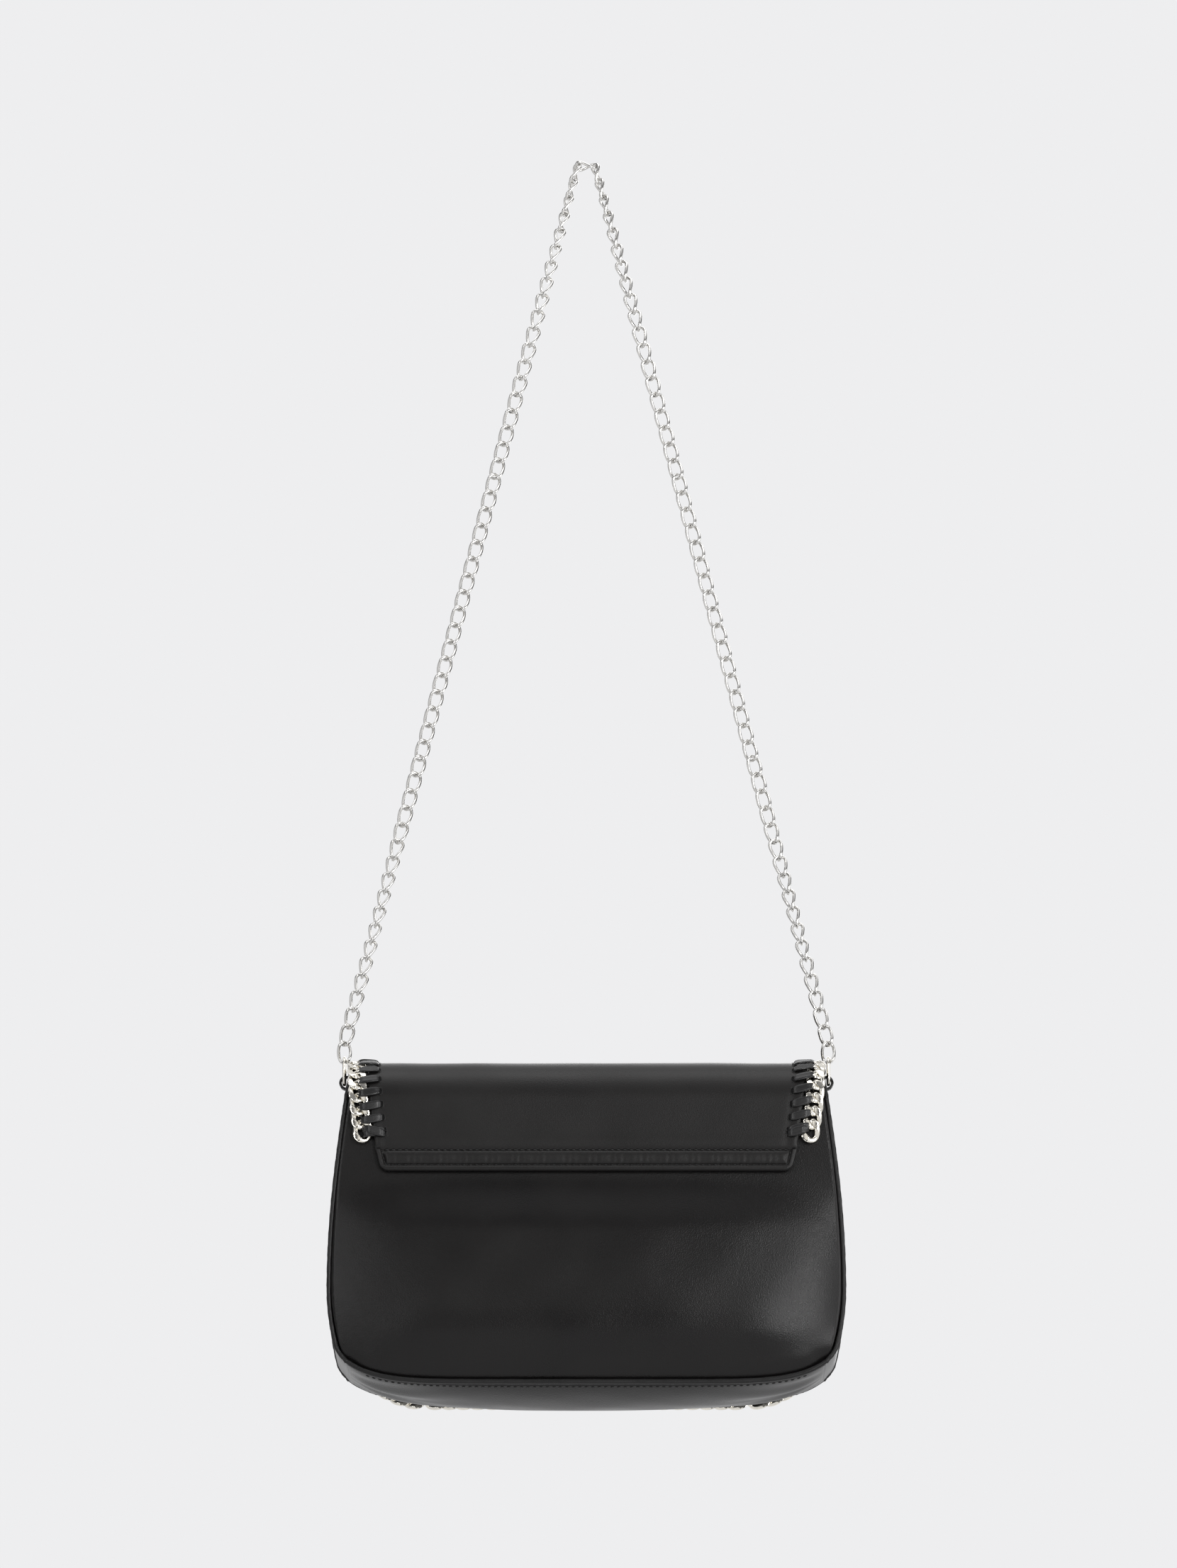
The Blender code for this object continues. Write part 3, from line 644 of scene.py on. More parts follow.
def make_strap():
    stretches, half_length = strand_layout()
    half_width = (strap_link_width - strap_wire) / 2
    radius = strap_wire / 2
    rings = 36, 10
    base = link_shape(half_length, half_width, strap_link_lift, radius, strap_link_power, *rings)
    top = frame_at(Vector((0, 0, radius)), rightward, forward)
    bight = turned(stretches[0]) + [top] + stretches[0]
    form = chain_shape(bight, base, *rings)
    add_piece("peg_links", form, silver, "strap_top", ("strap_top_links",))
    wobble = np.random.default_rng(11)
    for stretch, body in zip(stretches[1:], ("strap_upper", "strap_middle", "strap_lower")):
        for word, places in (("right", stretch), ("left", turned(stretch))):
            sway = [float(wobble.normal(0, link_sway)) for _ in places]
            sway[0] = sway[-1] = 0.0
            loose = [p @ Matrix.Rotation(angle, 4, "X") for p, angle in zip(places, sway)]
            form = chain_shape(loose, base, *rings)
            dress(body + "_" + word, "_curb", form, silver, body)


def make_connectors():
    rise = connector_length - connector_width
    steps = 14
    spots = []
    for start, height in ((0, rise), (pi, 0)):
        for k in range(steps + 1):
            angle = start + pi * k / steps
            y, z = connector_bend * cos(angle), connector_bend * sin(angle)
            spots.append(Vector((0, y, z + height)))
    section = ellipse(connector_bar / 2, connector_bar / 2, 12)
    for side, word in hands:
        base = Matrix.Translation(at_bag(side * connector_x, hang_depth, -connector_axis_depth))
        frames = []
        for i, spot in enumerate(spots):
            along = spots[(i + 1) % len(spots)] - spots[i - 1]
            frames.append(base @ frame_at(spot, along, rightward))
        form = sweep(frames, [section] * len(frames), closed=True)
        dress("connector_" + word, "_ring", form, nickel, "strap_lower")


# Bag body


def side_half_width(z):
    drop = -z
    if drop <= belly_drop:
        share = max(drop - gusset_top_drop, 0) / (belly_drop - gusset_top_drop)
        return mouth_half_width + (belly_half_width - mouth_half_width) * sin(share * pi / 2)
    if drop <= hem_drop:
        share = (drop - belly_drop) / (hem_drop - belly_drop)
        return belly_half_width - (belly_half_width - hem_half_width) * share**2
    share = (drop - hem_drop) / (corner_drop - hem_drop)
    return hem_half_width - (hem_half_width - corner_half_width) * share**2


def seam_half_width(z):
    """Half the body's width at its seams: as side_half_width, but drawn in round the lower corners."""
    share = min(max((-z - corner_start_drop) / (corner_drop - corner_start_drop), 0), 1.1)
    return side_half_width(max(z, -hem_drop)) - corner_draw_in * share**2


def wall_depth(z, inset=0.0):
    rise = max(z + flap_bend_radius, 0)
    return bend_centre + sqrt(max((body_bend_radius - inset) ** 2 - rise**2, 0))


def level(share):
    return -mouth_drop - (corner_drop - mouth_drop) * share


def hem_height(u):
    return -corner_drop - hem_sag * (1 - abs(u) ** hem_power)


def row_height(u, v):
    sag = hem_height(u) + seam_width - level(1)
    return level(v) + sag * max(v - level_share, 0) / (1 - level_share)


def spread(count, edge):
    """Shares from -1 to 1, closer together near both ends."""
    shares = np.linspace(-1, 1, count)
    return [float(s * (1 - edge) + edge * sin(s * pi / 2)) for s in shares]


def panel_spot(side, u, v):
    """The hide's outer face: it swells between its seams, rolls in above the hem, and its corners pinch."""
    z = row_height(u, v)
    seam_z = min(level(v) + seam_width * smoothstep(0.93, 1.0, v), -mouth_drop)
    half = seam_half_width(seam_z) - seam_width + 0.0010 * smoothstep(0.96, 1.0, v)
    x = u * half
    start = (band_drop + 0.001 - mouth_drop) / (corner_drop - mouth_drop) if side < 0 else 0.0
    share = max(v - start, 0) / (1 - start)
    crown = panel_crown * (1 - u**2) * sin(pi * share)
    y = wall_depth(z) + crown
    hem = hem_height(u) + seam_width
    above = z - hem
    if side < 0:
        plump = (1 - abs(u) ** 4.5) * smoothstep(0, 0.30, share)
        plump *= 1 - smoothstep(0.76, 1.0, share) * 0.9
        y += back_swell * plump
        full = (1 - abs(u) ** 5) * smoothstep(0.0, 0.7, share) * (1 - smoothstep(0.66, 1.0, share))
        y += back_fullness * full
        y += 0.00042 * ripple(x, z, 0.4) * plump
        # Soft drag lines run up and in from the lower corners.
        reach = sqrt((abs(x) - drag_x) ** 2 + (z - drag_z) ** 2)
        swirl = sin(90 * (abs(x) + z) + 0.6) * exp(-((reach / drag_reach) ** 2))
        y += drag_depth * swirl * plump
    else:
        y += 0.0002 * ripple(x, z, 3.0) * sin(pi * v)
    if above < hem_roll_height:
        y -= hem_roll * (1 - max(above, 0) / hem_roll_height) ** 2.2
    pinch = sqrt((abs(x) - pinch_x) ** 2 + (z - pinch_z) ** 2)
    y -= pinch_depth * exp(-((pinch / pinch_reach) ** 2))
    return at_bag(x, side * y, z)


def rows_to(low, high, count, ends):
    """Stops from low to high, closer together near both ends."""
    shares = np.linspace(0, 1, count)
    return [float(low + (high - low) * (s * (1 - ends) + ends * (1 - cos(pi * s)) / 2)) for s in shares]


def make_panels():
    for side, word in walls:
        grid = [[panel_spot(side, u, v) for u in spread(97, 0.5)] for v in rows_to(0, 1, 73, 0.6)]
        dress(word + "_panel", "_hide", thick_sheet(grid, panel_thickness * 0.75), leather)


def gusset_spot(side, u, v):
    z = level(v) if v > 0 else -gusset_top_drop
    fold = gusset_fold * sin(pi * v) ** 2 * (1 - abs(u) ** 1.6)
    reach = wall_depth(z, seam_width)
    pucker = 0.0003 * sin(260 * z + 2 * u) * (1 - u * u) * sin(pi * v)
    x = seam_half_width(z) - gusset_inset - fold + pucker
    z -= corner_fall * (1 - abs(u) ** 2.5) * smoothstep(0.9, 1.0, v)
    return at_bag(side * x, u * reach, z)


def bottom_spot(u, v):
    """The bottom hangs between the hems, and gathers into soft pleats towards its corners."""
    x = u * (seam_half_width(-corner_drop) - gusset_inset)
    y = v * (half_depth - seam_width)
    sag = bottom_sag * (1 - abs(v) ** 2.2) * (1 - abs(u) ** 2.6)
    z = hem_height(u) - sag - corner_fall * (1 - abs(v) ** 2.5) * abs(u) ** 9
    near = exp(-(((abs(u) - 1) / 0.28) ** 2)) * (1 - abs(u) ** 10)
    z += 0.0011 * near * sin(9 * abs(v) + 10 * abs(u) - 6.4) * (1 - v**4)
    z += 0.00025 * ripple(x, y * 3, 5.0) * (1 - v**2) * (1 - u**4)
    return at_bag(x, y, z)


def make_gussets():
    thickness = gusset_thickness * 0.8
    for side, word in hands:
        grid = [[gusset_spot(side, u, v) for u in spread(33, 0.2)] for v in rows_to(0, 1, 81, 0.5)]
        dress("gusset_" + word, "_hide", thick_sheet(grid, thickness), leather)
    grid = [[bottom_spot(u, v) for u in spread(121, 0.5)] for v in spread(33, 0.4)]
    add_piece("bottom_hide", thick_sheet(grid, thickness), leather, nodes=("gusset_bottom",))


stitch_profile = (
    # share of half the stitch's length, share of the thread's radius, height in radii
    (-1, 0.2, -1.1),
    (-0.8, 0.8, -0.1),
    (-0.3, 1, 0.45),
    (0.3, 1, 0.45),
    (0.8, 0.8, -0.1),
    (1, 0.2, -1.1),
)


def stitch_row(spots, normal, radius, pitch=stitch_pitch, length=stitch_length):
    """Stitches of thread, each drawn tight at both ends, along a line of spots on a level face."""
    points = np.array([tuple(s) for s in spots])
    travelled = travel(points)

    def spot_at(distance):
        return Vector([float(np.interp(distance, travelled, points[:, k])) for k in range(3)])

    whole = float(travelled[-1])
    count = round(whole / pitch)
    forms = []
    for i in range(count):
        distance = (i + 0.5) * whole / count
        along = (spot_at(distance + 0.0004) - spot_at(distance - 0.0004)).normalized()
        place = frame_at(spot_at(distance), along, normal.cross(along))
        frames = []
        sections = []
        for share, swell, rise in stitch_profile:
            frames.append(place @ Matrix.Translation((share * length / 2, 0, rise * radius)))
            sections.append(ellipse(radius * swell, radius * swell * 0.85, 6))
        forms.append(sweep(frames, sections))
    return join_shapes(forms)


def make_piping():
    sink = piping_inset + piping_radius
    for side, word in walls:
        for hand, hand_word in hands:
            spots = []
            for v in rows_to(0, 1, 110, 0.6):
                z = level(v) + sink * max(v - 0.97, 0) / 0.03
                x = hand * (seam_half_width(z) - sink)
                spots.append(at_bag(x, side * wall_depth(z, sink), z))
            sections = []
            for i in range(len(spots)):
                radius = piping_radius * (1 + 0.05 * sin(i * 1.3) + 0.03 * sin(i * 2.9 + 1))
                sections.append(ellipse(radius, radius, 14))
            form = sweep(path_frames(spots, forward), sections)
            dress("piping_" + word + "_" + hand_word, "_roll", form, edge_leather, sharp=1.0)
        spots = []
        sections = []
        for i, u in enumerate(spread(141, 0.2)):
            x = u * (seam_half_width(-corner_drop + sink) - sink)
            lift = 0.0004 * abs(u) ** 30
            spots.append(at_bag(x, side * (half_depth - sink - 0.0001), hem_height(u) + sink + lift))
            swell = 1.10 - 0.25 * abs(u) ** 12 + 0.03 * sin(i * 0.9)
            sections.append(ellipse(piping_radius * swell, piping_radius * swell * 1.12, 16))
        form = sweep(path_frames(spots, forward), sections)
        dress("hem_welt_" + word, "_roll", form, edge_leather, sharp=1.0)
        v = 1 - hem_seam_inset / (half_depth - seam_width)
        row = [bottom_spot(float(u), side * v) for u in np.linspace(-0.93, 0.93, 160)]
        normal = Vector((0, side * 0.5, -0.85)).normalized()
        add_piece("hem_stitches_" + word, stitch_row(row, normal, hem_thread), thread)


def lining_grid():
    count = 14
    rows = []
    for v in rows_to(0.05, 1, 44, 0.4):
        z = level(v)
        reach_x = side_half_width(z) - gusset_inset - gusset_thickness - lining_room
        reach_y = wall_depth(z, panel_thickness + lining_room) - (hem_roll if v > 0.94 else 0) * 0.6
        side_y = min(wall_depth(z, seam_width + clear), reach_y)
        fold = gusset_fold * sin(pi * v) ** 2
        row = []
        for way in (1, -1):
            for u in np.linspace(way, -way, count):
                u = float(u)
                wave = 0.0003 * sin(9 * u + 140 * z)
                x = way * (reach_x - fold * (1 - abs(u) ** 1.6) + wave)
                row.append(at_bag(x, u * side_y, row_height(1, v)))
            for u in np.linspace(way, -way, 2 * count)[1:-1]:
                u = float(u)
                wave = 0.00035 * sin(21 * u + 120 * z) * (1 - u**2)
                row.append(at_bag(u * (reach_x - seam_width), -way * (reach_y + wave), row_height(u, v)))
        rows.append(row)
    # The floor closes towards the middle line.
    low = rows[-1]
    for share in (0.92, 0.7, 0.45, 0.2, 0.02):
        rows.append([Vector((s.x, bag_origin.y + (s.y - bag_origin.y) * share, s.z)) for s in low])
    return rows


def make_lining():
    form = thick_sheet(lining_grid(), lining_thickness * 0.8, wrap=True)
    add_piece("lining_cloth", form, lining_cloth, nodes=("lining",))


def tab_wall(z):
    """How far out the middle of a tab's leather lies where it rests on the gusset."""
    return side_half_width(z) - gusset_inset + clear + tab_thickness / 2


def make_tabs():
    """Folded leather loops that hold the connectors, stitched across below them."""
    room = connector_wire * corner_share / 2 + clear
    half = tab_thickness / 2
    roof = -connector_axis_depth + half
    floor = -connector_axis_depth - connector_bend - room - tab_thickness
    out = connector_x + room + half
    turns = (
        (tab_wall(-tab_tail_depth), -tab_tail_depth + 0.0002),
        (tab_wall(-0.0150) + 0.0003, -0.0150),
        (tab_wall(-0.0125) + 0.0008, -0.0125),
        (tab_wall(-tab_seam_drop) + 0.0006, -tab_seam_drop),
        (tab_wall(floor) + 0.0010, floor - 0.0002),
        ((tab_wall(floor) + out) / 2 + 0.0009, floor + 0.0007),
        (out, floor + 0.0024),
        (out + 0.0001, (floor + roof) / 2),
        (out - 0.0003, roof - 0.0019),
        (out - 0.0014, roof - 0.0007),
        ((tab_wall(roof) + out) / 2, roof - half * 0.9),
        (tab_wall(roof) + 0.0001, roof - half),
    )
    seam_out = tab_wall(-tab_seam_drop) + half + 0.0002
    for side, word in hands:
        samples = smooth_curve([Vector((side * x, 0, z)) for x, z in turns], 6)
        spots = [at_bag(0, hang_depth, 0) + s for s in samples]
        wides = [tab_width / 2 * (1 + 0.05 * sin(i * 0.5)) for i in range(len(spots))]
        sections = [rounded_strip(wide, half) for wide in wides]
        form = sweep(path_frames(spots, forward), sections)
        dress("strap_tab_" + word, "_loop", form, edge_leather, sharp=1.2)
        shifts = np.linspace(-0.0013, 0.0013, 8)
        row = [at_bag(side * seam_out, hang_depth + float(y), -tab_seam_drop) for y in shifts]
        form = stitch_row(row, side * rightward, tab_thread, 0.0014, 0.0012)
        add_piece("tab_stitches_" + word, form, thread)


def smooth_curve(points, steps):
    """Catmull-Rom through the points."""
    made = []
    for i in range(len(points) - 1):
        before = points[max(i - 1, 0)]
        a, b = points[i], points[i + 1]
        after = points[min(i + 2, len(points) - 1)]
        for k in range(steps):
            t = k / steps
            bow = 2 * before - 5 * a + 4 * b - after
            turn = 3 * a - before - 3 * b + after
            made.append(0.5 * (2 * a + (b - before) * t + bow * t**2 + turn * t**3))
    made.append(points[-1])
    return made


def rounded_strip(half_width, half_thickness):
    """The section of a flat strip with soft edges and a slight hollow along its middle."""
    w, h = half_width, half_thickness
    upper = [(-w, 0), (-0.93 * w, 0.62 * h), (-0.80 * w, h), (-0.4 * w, 0.92 * h), (0, 0.86 * h)]
    upper += [(-a, n) for a, n in reversed(upper[:-1])]
    lower = [(a, -n) for a, n in reversed(upper[1:-1])]
    return upper + lower


# Flap


def flap_edge(reach):
    if reach < 0:
        share = min(-reach / (bend_reach + trim_back_drop - flap_bend_radius), 1)
        return flap_half_width - (flap_half_width - flap_back_half_width) * share**back_taper_power
    share = min(reach / front_reach, 1)
    return flap_half_width + (flap_front_half_width - flap_half_width) * share


def flap_frame(reach, x, rise=0.0):
    """A point on the flap at a length and a width along it, and the way out of its face."""
    way = -1 if reach < 0 else 1
    far = abs(reach)
    if far <= bend_centre:
        angle = 0
        base = Vector((x, reach, 0))
    elif far <= bend_reach:
        angle = (far - bend_centre) / flap_bend_radius
        y = bend_centre + flap_bend_radius * sin(angle)
        base = Vector((x, way * y, flap_bend_radius * (cos(angle) - 1)))
    else:
        angle = pi / 2
        base = Vector((x, way * flap_half_depth, -flap_bend_radius - (far - bend_reach)))
    up = Vector((0, way * sin(angle), cos(angle)))
    crown = 0
    if reach > bend_reach:
        share = (reach - bend_reach) / (front_reach + trim_width - bend_reach)
        across = max(1 - (x / (flap_front_half_width + trim_gap + trim_width)) ** 2, 0)
        crown = flap_crown * across * sin(pi * share)
    return base + up * (rise + crown), up


def round_off(edge, into, radius):
    """Half a width that is rounded off by a corner which began so far back."""
    if into <= 0:
        return edge
    return edge - radius + sqrt(max(radius**2 - into**2, 0))


def front_half_width(reach, inset=0.0):
    radius = flap_corner_radius - inset
    return round_off(flap_edge(reach) - inset, reach - (front_reach - inset - radius), radius)


def flap_outline_gap(reach, x):
    """How far a point on the flap lies in from its edge."""
    edge = flap_edge(reach)
    if reach > corner_reach:
        dx = abs(x) - (edge - flap_corner_radius)
        dr = reach - corner_reach
        if dx > 0 and dr > 0:
            return flap_corner_radius - sqrt(dx * dx + dr * dr)
        return min(edge - abs(x), front_reach - reach)
    return edge - abs(x)


def flap_rise(reach, x):
    """The hide's own unevenness: soft edges, and slight hollows between the lace holes."""
    gap = flap_outline_gap(reach, x)
    rise = -0.00035 * exp(-((max(gap, 0) / 0.0005) ** 2))
    calm = smoothstep(0.004, 0.03, gap)
    rise += 0.00022 * ripple(x, reach, 1.0) * calm
    rise -= 0.00018 * exp(-(((gap - lace_hole_inset) / 0.0016) ** 2))
    if reach < 0:
        # The hide is drawn down into the band's upper seam.
        near = reach - back_reach
        rise -= 0.00075 * exp(-((near / 0.0011) ** 2))
        rise += 0.00020 * exp(-(((near - 0.004) / 0.003) ** 2))
    return rise


def flap_rows(stops, half_at, shares, rise_at):
    """The grid of points on the hide, from its half width and its rise over the plain flap."""
    rows = []
    for reach in stops:
        half = half_at(reach)
        rows.append([bag_origin + flap_frame(reach, u * half, rise_at(reach, u * half))[0] for u in shares])
    return rows


def corner_stops(straight, radius, count):
    return [straight + radius * sin(pi / 2 * k / count) for k in range(1, count + 1)]


def make_flap():
    stops = rows_to(back_reach, -bend_reach, 34, 0.5)
    stops += rows_to(-bend_reach, -bend_centre, 22, 0.0)[1:]
    stops += rows_to(-bend_centre, bend_centre, 22, 0.0)[1:]
    # The two hides meet inside the front bend.
    split = len(stops) + 9
    stops += rows_to(bend_centre, bend_reach, 23, 0.0)[1:]
    stops += rows_to(bend_reach, corner_reach, 50, 0.0)[1:]
    stops += corner_stops(corner_reach, flap_corner_radius, 26)
    grid = flap_rows(stops, front_half_width, spread(91, 0.6), flap_rise)
    rear = thick_sheet(grid[: split + 1], flap_thickness, cut_row=split)
    fore = thick_sheet(grid[split:], flap_thickness, cut_row=0)
    rear = add_piece("flap_hide_rear", rear, smooth_leather, None, ("flap_back",))
    fore = add_piece("flap_hide_fore", fore, smooth_leather, None, ("flap_top", "flap_front"))
    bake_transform(rear)
    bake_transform(fore)


def make_flap_lining():
    low = front_reach - flap_lining_inset
    radius = flap_corner_radius - flap_lining_inset
    stops = rows_to(bend_reach + flap_lining_inset, low - radius, 40, 0.2)
    stops += corner_stops(low - radius, radius, 18)

    def half_at(reach):
        return front_half_width(reach, flap_lining_inset)

    def rise_at(reach, x):
        return -flap_thickness - clear + 0.00008 * ripple(x, reach, 8.0)

    form = thick_sheet(flap_rows(stops, half_at, spread(61, 0.5), rise_at), flap_lining_thickness)
    add_piece("flap_lining_cloth", form, lining_cloth, "flap_front", ("flap_lining",))


def band_side(z, inset=0.0):
    """Half the band's width at height z, before its lower corners are rounded."""
    share = min(max((-z - band_top_drop) / (band_drop - band_top_drop), 0), 1)
    return flap_back_half_width - inset - band_side_draw * share


def band_edge(z, inset=0.0):
    radius = band_corner_radius - inset
    return round_off(band_side(z, inset), radius - (z + band_drop - inset), radius)


def band_height(x, z):
    """The padded band's height over the flap's own face: puffed between its rows, with a rolled edge."""
    side_gap = band_side(z) - abs(x)
    low_gap = z + band_drop
    top_gap = -band_top_drop - z
    near = min(side_gap, low_gap)
    if side_gap < band_corner_radius and low_gap < band_corner_radius:
        into = (band_corner_radius - side_gap) ** 2 + (band_corner_radius - low_gap) ** 2
        near = band_corner_radius - sqrt(into)
    if near < band_roll:
        across = (near - band_roll / 2) / (band_roll / 2)
        hump = sqrt(max(1 - across**2, 0))
        groove = exp(-(((near - 0.4 * band_roll) / 0.00022) ** 2))
        side_on = smoothstep(0.0, 0.004, low_gap)
        return -0.0007 + 0.0016 * hump - 0.00028 * groove * side_on
    puff = 1 - exp(-(near - band_roll) / 0.0010)
    puff *= 1 - exp(-max(top_gap, 0) / 0.0011)
    gather = exp(-max(near - band_roll, 0) / 0.0016) + 0.6 * exp(-max(top_gap, 0) / 0.0014)
    wave = 1 + 0.03 * sin(x * 331) + 0.02 * sin(x * 857 + 1)
    pucker = 0.00024 * gather * sin(x * 2 * pi / stitch_pitch) * (0.6 + 0.4 * sin(x * 517))
    return -0.0008 + 0.00155 * puff * wave + pucker


def make_band():
    top = -band_top_drop
    heights = rows_to(top + 0.0001, band_corner_radius - band_drop, 34, 0.2)
    heights += [-band_drop + band_corner_radius * (1 - sin(pi / 2 * k / 16)) for k in range(1, 17)]
    outer = []
    for z in heights:
        row = []
        for u in spread(421, 0.25):
            x = u * band_edge(z)
            row.append(at_bag(x, -(flap_half_depth + band_height(x, z)), z))
        outer.append(row)
    depth = flap_half_depth - half_depth - clear - 0.0008
    made = add_piece("band_pad", thick_sheet(outer, depth, bulge=0.25), smooth_leather, nodes=("flap_band",))
    reach = band_edge(top) - band_end_margin
    upper = [at_bag(float(x), 0.0005 - flap_half_depth, top) for x in np.linspace(-reach, reach, 200)]
    inset = band_seam_inset
    low = -band_drop + inset
    end = band_edge(low, inset)
    lower = [(-band_edge(float(z), inset), float(z)) for z in np.linspace(top, low, 20)]
    lower += [(float(x), low) for x in np.linspace(-end, end, 200)[1:-1]]
    lower += [(band_edge(float(z), inset), float(z)) for z in np.linspace(low, top, 20)]
    lower = [at_bag(x, 0.0006 - flap_half_depth, z) for x, z in lower]
    rows = [stitch_row(row, -forward, band_thread) for row in (upper, lower)]
    add_piece("band_stitches", join_shapes(rows), thread)


# Snap


snap_rim = ((0.2, 0), (0.97, 0), (1, 0.2), (0.99, 0.6), (0.93, 0.9))
snap_faces = {
    # radius as a share of the snap's, height as a share of the piece's own
    "snap_socket": ((0.80, 1), (0.62, 0.95), (0.40, 0.7), (0.28, 0.45), (0.1, 0.4)),
    "snap_stud": ((0.80, 0.8), (0.55, 0.7), (0.36, 0.95), (0.24, 1), (0.08, 1)),
}


def make_snap():
    sides = 56
    for node, body, way in (("snap_socket", "bag_body", 1), ("snap_stud", "flap_front", -1)):
        low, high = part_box(node)
        deep = high.y - low.y
        base = Vector(((low.x + high.x) / 2, low.y if way > 0 else high.y, (low.z + high.z) / 2))
        profile = snap_rim + snap_faces[node]
        verts = []
        for share, height in profile:
            radius = share * snap_radius
            verts += [base + Vector((x, way * deep * height, z)) for x, z in ellipse(radius, radius, sides)]
        form = verts, ring_faces(len(profile), sides) + end_faces(len(profile), sides)
        dress(node, "_disc", form, nickel, body, 0.8)


# Edge chain and lace


def side_path(side, low, high):
    def place(distance, out):
        reach = low + distance
        return flap_frame(reach, side * (flap_edge(reach) + out))

    return place, high - low


def front_path(side):
    straight = corner_reach - bend_reach

    def place(distance, out):
        reach = bend_reach + distance
        x = flap_edge(reach) + out
        if distance > straight:
            turn = (distance - straight) / flap_corner_radius
            radius = flap_corner_radius + out
            reach = corner_reach + radius * sin(turn)
            x = flap_edge(front_reach) - flap_corner_radius + radius * cos(turn)
        return flap_frame(reach, side * x)

    return place, straight + flap_corner_radius * pi / 2


def bottom_path():
    half = flap_edge(front_reach) - flap_corner_radius

    def place(distance, out):
        return flap_frame(front_reach + out, half - distance)

    return place, 2 * half


def edge_frame(place, distance, out=0.0, rise=0.0):
    """A frame at the flap's edge, y out of the flap and z off its outer face. Also the way of travel."""
    point, up = place(distance, out)
    across = place(distance, out + nudge)[0] - point
    ahead = place(distance + nudge, out)[0] - point
    normal = ahead.cross(across).normalized()
    if normal.dot(up) < 0:
        normal = -normal
    made = frame_at(point + normal * rise, across.cross(normal), across)
    sense = 1 if made.to_3x3().col[0].dot(ahead) > 0 else -1
    return made, sense


def trim_centres(place, length):
    centre_out = trim_gap + trim_width / 2
    stops = [length * i / trim_stops for i in range(trim_stops + 1)]
    spots = [place(stop, centre_out)[0] for stop in stops]
    travelled = [0]
    for spot, after in zip(spots, spots[1:]):
        travelled.append(travelled[-1] + (after - spot).length)
    room = travelled[-1] - 2 * trim_margin
    count = round(room / trim_pitch)
    pitch = room / count
    centres = [trim_margin + (k + 1 / 2) * pitch for k in range(count)]
    return [float(d) for d in np.interp(centres, travelled, stops)]


lace_profile = (
    # out from the edge, off the outer face, share of the way along to the next wrap, share of full width
    (-0.0052, -0.0011, 0.00, 0.50),
    (-0.0051, -0.0002, 0.00, 0.66),
    (-0.0046, 0.0006, 0.01, 0.82),
    (-0.0034, 0.0010, 0.03, 0.96),
    (-0.0016, 0.0012, 0.07, 1.02),
    (0.0004, 0.0013, 0.11, 1.00),
    (0.0022, 0.0013, 0.15, 0.93),
    (0.0036, 0.0009, 0.18, 0.84),
    (0.0044, 0.0001, 0.20, 0.78),
    (0.0046, -0.0009, 0.22, 0.76),
    (0.0042, -0.0019, 0.27, 0.80),
    (0.0030, -0.0026, 0.36, 0.88),
    (0.0010, -0.0027, 0.52, 0.95),
    (-0.0014, -0.0026, 0.72, 0.93),
    (-0.0036, -0.0024, 0.90, 0.80),
    (-0.0047, -0.0021, 0.98, 0.68),
    (-0.0051, -0.0014, 1.00, 0.55),
)


def wrap_shape(place, distance, step, sway, lift=0.0, lean=0.0):
    """One turn of lace: out of its hole, over the leather's edge and the chain's near wire, and back."""
    grip, sense = edge_frame(place, distance)
    spots = []
    wides = []
    for out, rise, share, wide in lace_profile:
        along = share * step
        if share <= 0.22:
            along = share * step * 0.6 + sway * (out + 0.005) / 0.008
        if lean:
            along += lean * (out + 0.005) / 0.008
        if lift and -0.004 < out < 0.003 and rise > 0:
            rise += lift
        spots.append(grip @ Vector((sense * along, out, rise)))
        wides.append(wide)
    last = len(spots) - 1
    spots = smooth_curve(spots, 3)
    wides = np.interp(np.linspace(0, last, len(spots)), range(last + 1), wides)
    frames = path_frames(spots, grip.to_3x3() @ rightward)
    return sweep(frames, [rounded_strip(lace_half_width * float(w), lace_half_thickness) for w in wides])


hole_rings = (
    # half length, half width, height of the lip and then of the opening, whose disc is painted near-black as
    # the hole's shade
    (0.0021, 0.00120, -0.00016),
    (0.0020, 0.00108, 0.00003),
    (0.0018, 0.00090, 0.00002),
    (0.0016, 0.00076, -0.00010),
)


def hole_shape(place, distance):
    """A punched hole's puckered lip, and its opening: a disc painted near-black as the shade inside the
    hole.
    """
    centre = edge_frame(place, distance)[0] @ Matrix.Translation((0, -hole_inset, 0))
    sides = 16
    verts = []
    for a, b, height in hole_rings:
        verts += [centre @ Vector((x, y, height)) for x, y in ellipse(a, b, sides)]
    return verts, ring_faces(len(hole_rings), sides) + end_faces(len(hole_rings), sides)[1:]


def lace_form(forms):
    verts, faces = join_shapes(forms)
    return [v + bag_origin for v in verts], faces


